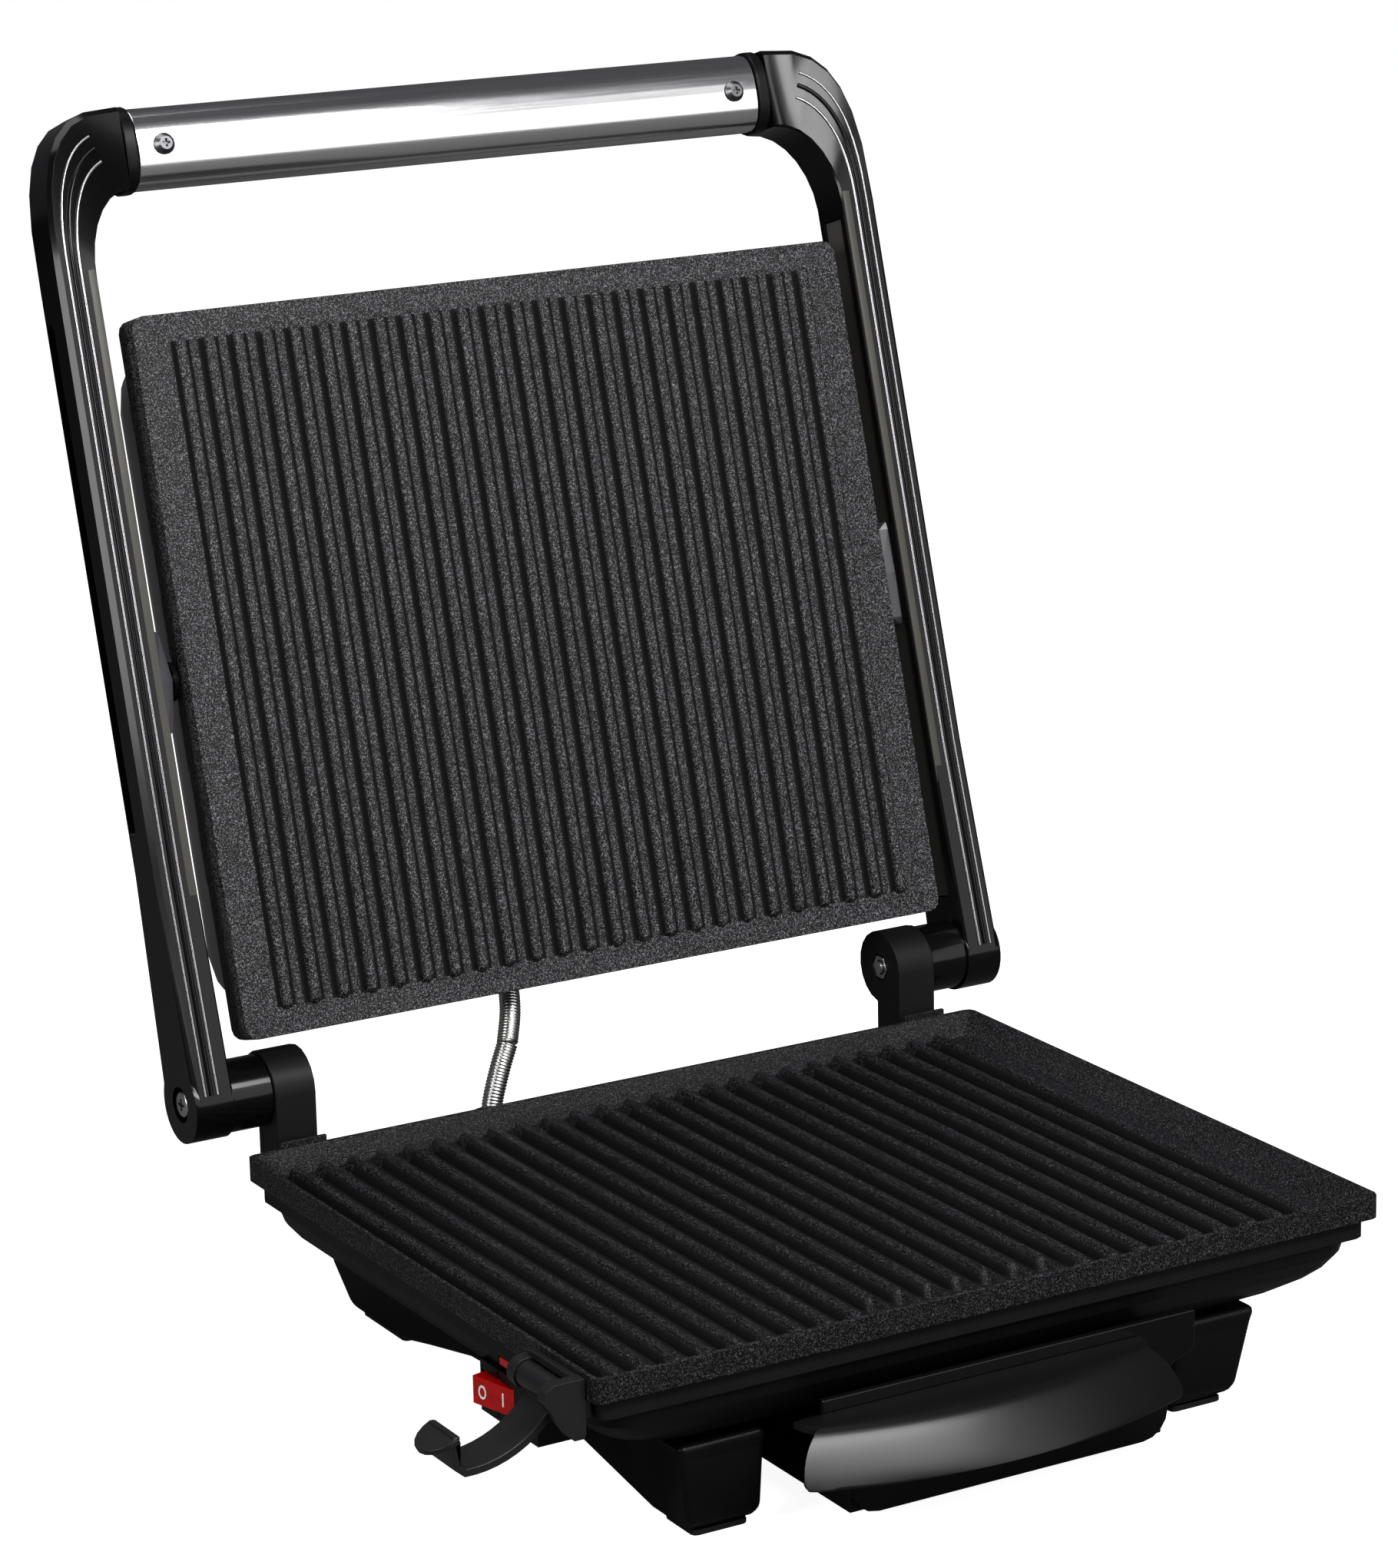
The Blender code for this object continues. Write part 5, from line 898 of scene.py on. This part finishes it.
# ---- Handle
# An oval aluminium tube, extruded and polished along its length. It is pushed on black plugs and
# held by one cross-head screw at each end.
polished = metal(
    "polished_aluminium",
    colour=(0.86, 0.86, 0.87),
    roughness=0.16,
    spread=0.1,
    stretch=(0.4, 30.0, 30.0),
    depth=0.00001,
)
dark_zinc = metal(
    "dark_zinc",
    colour=(0.16, 0.16, 0.165),
    roughness=0.35,
    spread=0.2,
    stretch=(9.0, 9.0, 9.0),
    depth=0.00002,
)
dressed("handle_tube", "grip_tube", "arms", polished, 0.0004, angle=40)
for side in ("left", "right"):
    dressed(f"handle_collar_{side}", f"grip_plug_{side}", "arms", moulded_black, 0.0006, angle=40)
    dressed(f"handle_screw_{side}", f"grip_screw_{side}", "arms", dark_zinc, 0.0003)

# ---- Tilting head
# The upper plate is cast and coated like the lower one, but its flecks are painted lighter, as painted
# light for how it faces the lamps. A domed cover with side vents, in satin grey paint, is screwed
# behind it, and a boss on each side runs on the arm's pin.
# Painted light: this copy of the coating has lighter flecks and base than the lower plate's.
upper_coating = non_stick(
    "upper_coating",
    base=(0.0022, 0.0022, 0.0025),
    fleck=(0.17, 0.17, 0.18),
    share=-0.032,
    roughness=0.38,
    origin=tuple(hinge),
    lean=-LEAN,
    across=(-0.1298, 0.1298),
    along=(0.0275, 0.2620),
)
dressed(
    "upper_plate", "grill_plate_upper", "head", upper_coating, edge=0.0005, angle=20
)
satin_grey = plastic(
    "satin_grey_paint",
    dark=(0.23, 0.23, 0.227),
    light=(0.28, 0.28, 0.276),
    roughness=0.34,
    spread=0.12,
    size=1800.0,
    depth=0.00002,
    coat=0.2,
    shine=0.5,
)
dressed("upper_cover", "head_cover", "head", satin_grey, 0.0004, angle=40)
for side in ("left", "right"):
    dressed(f"tilt_boss_{side}", f"pin_boss_{side}", "head", moulded_black, 0.0004)

# ---- Conduit and inlet
# The wires to the head run in a closed-wound galvanised spring, from a black gland on the bridge to
# a hole in the cover. The mains cord would enter through the gland in the back of the bridge.
CONDUIT_RADIUS = 0.0039
WIRE = 0.0011
RINGS_A_TURN = 4
GROOVE_SHARE = 0.35


def wound_spring(name, points, node):
    """A closed-wound spring along a smooth line between two bodies, attached to neither."""
    knots = [points[0] * 2 - points[1]] + points + [points[-1] * 2 - points[-2]]
    line = []
    for a, b, c, d in zip(knots, knots[1:], knots[2:], knots[3:]):
        count = max(2, round((c - b).length / (WIRE / RINGS_A_TURN)))
        slope = c - a
        curve_in = 2 * a - 5 * b + 4 * c - d
        curve_out = 3 * b - a - 3 * c + d
        for i in range(count):
            t = i / count
            line.append(0.5 * ((2 * b) + slope * t + curve_in * t**2 + curve_out * t**3))
    line.append(points[-1])
    bm = bmesh.new()
    loops = []
    for index, spot in enumerate(line):
        ahead = line[min(index + 1, len(line) - 1)] - line[max(index - 1, 0)]
        facing = ahead.to_track_quat("Z", "Y").to_matrix().to_4x4()
        size = CONDUIT_RADIUS - WIRE * GROOVE_SHARE * (1 - abs(sin(pi * index / RINGS_A_TURN)))
        ring = bmesh.ops.create_circle(
            bm, cap_ends=False, segments=20, radius=size, matrix=Matrix.Translation(spot) @ facing
        )["verts"]
        loops.append([edge for edge in bm.edges if edge.verts[0] in ring and edge.verts[1] in ring])
    for first, second in zip(loops, loops[1:]):
        bmesh.ops.bridge_loops(bm, edges=first + second)
    for loop in (loops[0], loops[-1]):
        bmesh.ops.contextual_create(bm, geom=loop)
    bmesh.ops.recalc_face_normals(bm, faces=bm.faces)
    mesh = bpy.data.meshes.new(name)
    bm.to_mesh(mesh)
    bm.free()
    mesh.shade_smooth()
    mesh.materials.append(zinc_plate)
    piece = bpy.data.objects.new(name, mesh)
    bpy.context.scene.collection.objects.link(piece)
    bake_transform(piece)
    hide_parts(node)


def lid_point(x, n, s):
    """A point in the lid's own directions from the hinge: across, behind and along it."""
    return hinge + across_lid * x + behind_lid * n + along_lid * s


gland_low, gland_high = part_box("conduit_gland_lower")
spring_x = (gland_low.x + gland_high.x) / 2
spring_y = (gland_low.y + gland_high.y) / 2
foot_z = gland_low.z
shift = spring_x - hinge.x
# The lower half leaves the gland straight up and leans to the right until it meets the hinge axis.
wound_spring(
    "spring_lower",
    [
        Vector((spring_x, spring_y, foot_z)),
        Vector((spring_x, spring_y, foot_z + 0.009)),
        Vector((spring_x + 0.0045, spring_y + 0.0022, hinge.z - 0.010)),
        Vector((spring_x + 0.0092, hinge.y, hinge.z - 0.0012)),
    ],
    "conduit_lower",
)
# The upper half goes on along the lid and in behind the upper plate, where it straightens.
wound_spring(
    "spring_upper",
    [
        lid_point(shift + 0.0093, 0.0001, -0.0006),
        lid_point(shift + 0.0140, 0.0034, 0.0100),
        lid_point(shift + 0.0170, 0.0076, 0.0200),
        lid_point(shift + 0.0170, 0.0076, 0.0300),
    ],
    "conduit_upper",
)
dressed("conduit_gland_lower", "spring_gland", "base", moulded_black, 0.0003, angle=50)
dressed("mains_inlet_gland", "inlet_gland", "base", moulded_black, 0.0003, angle=50)
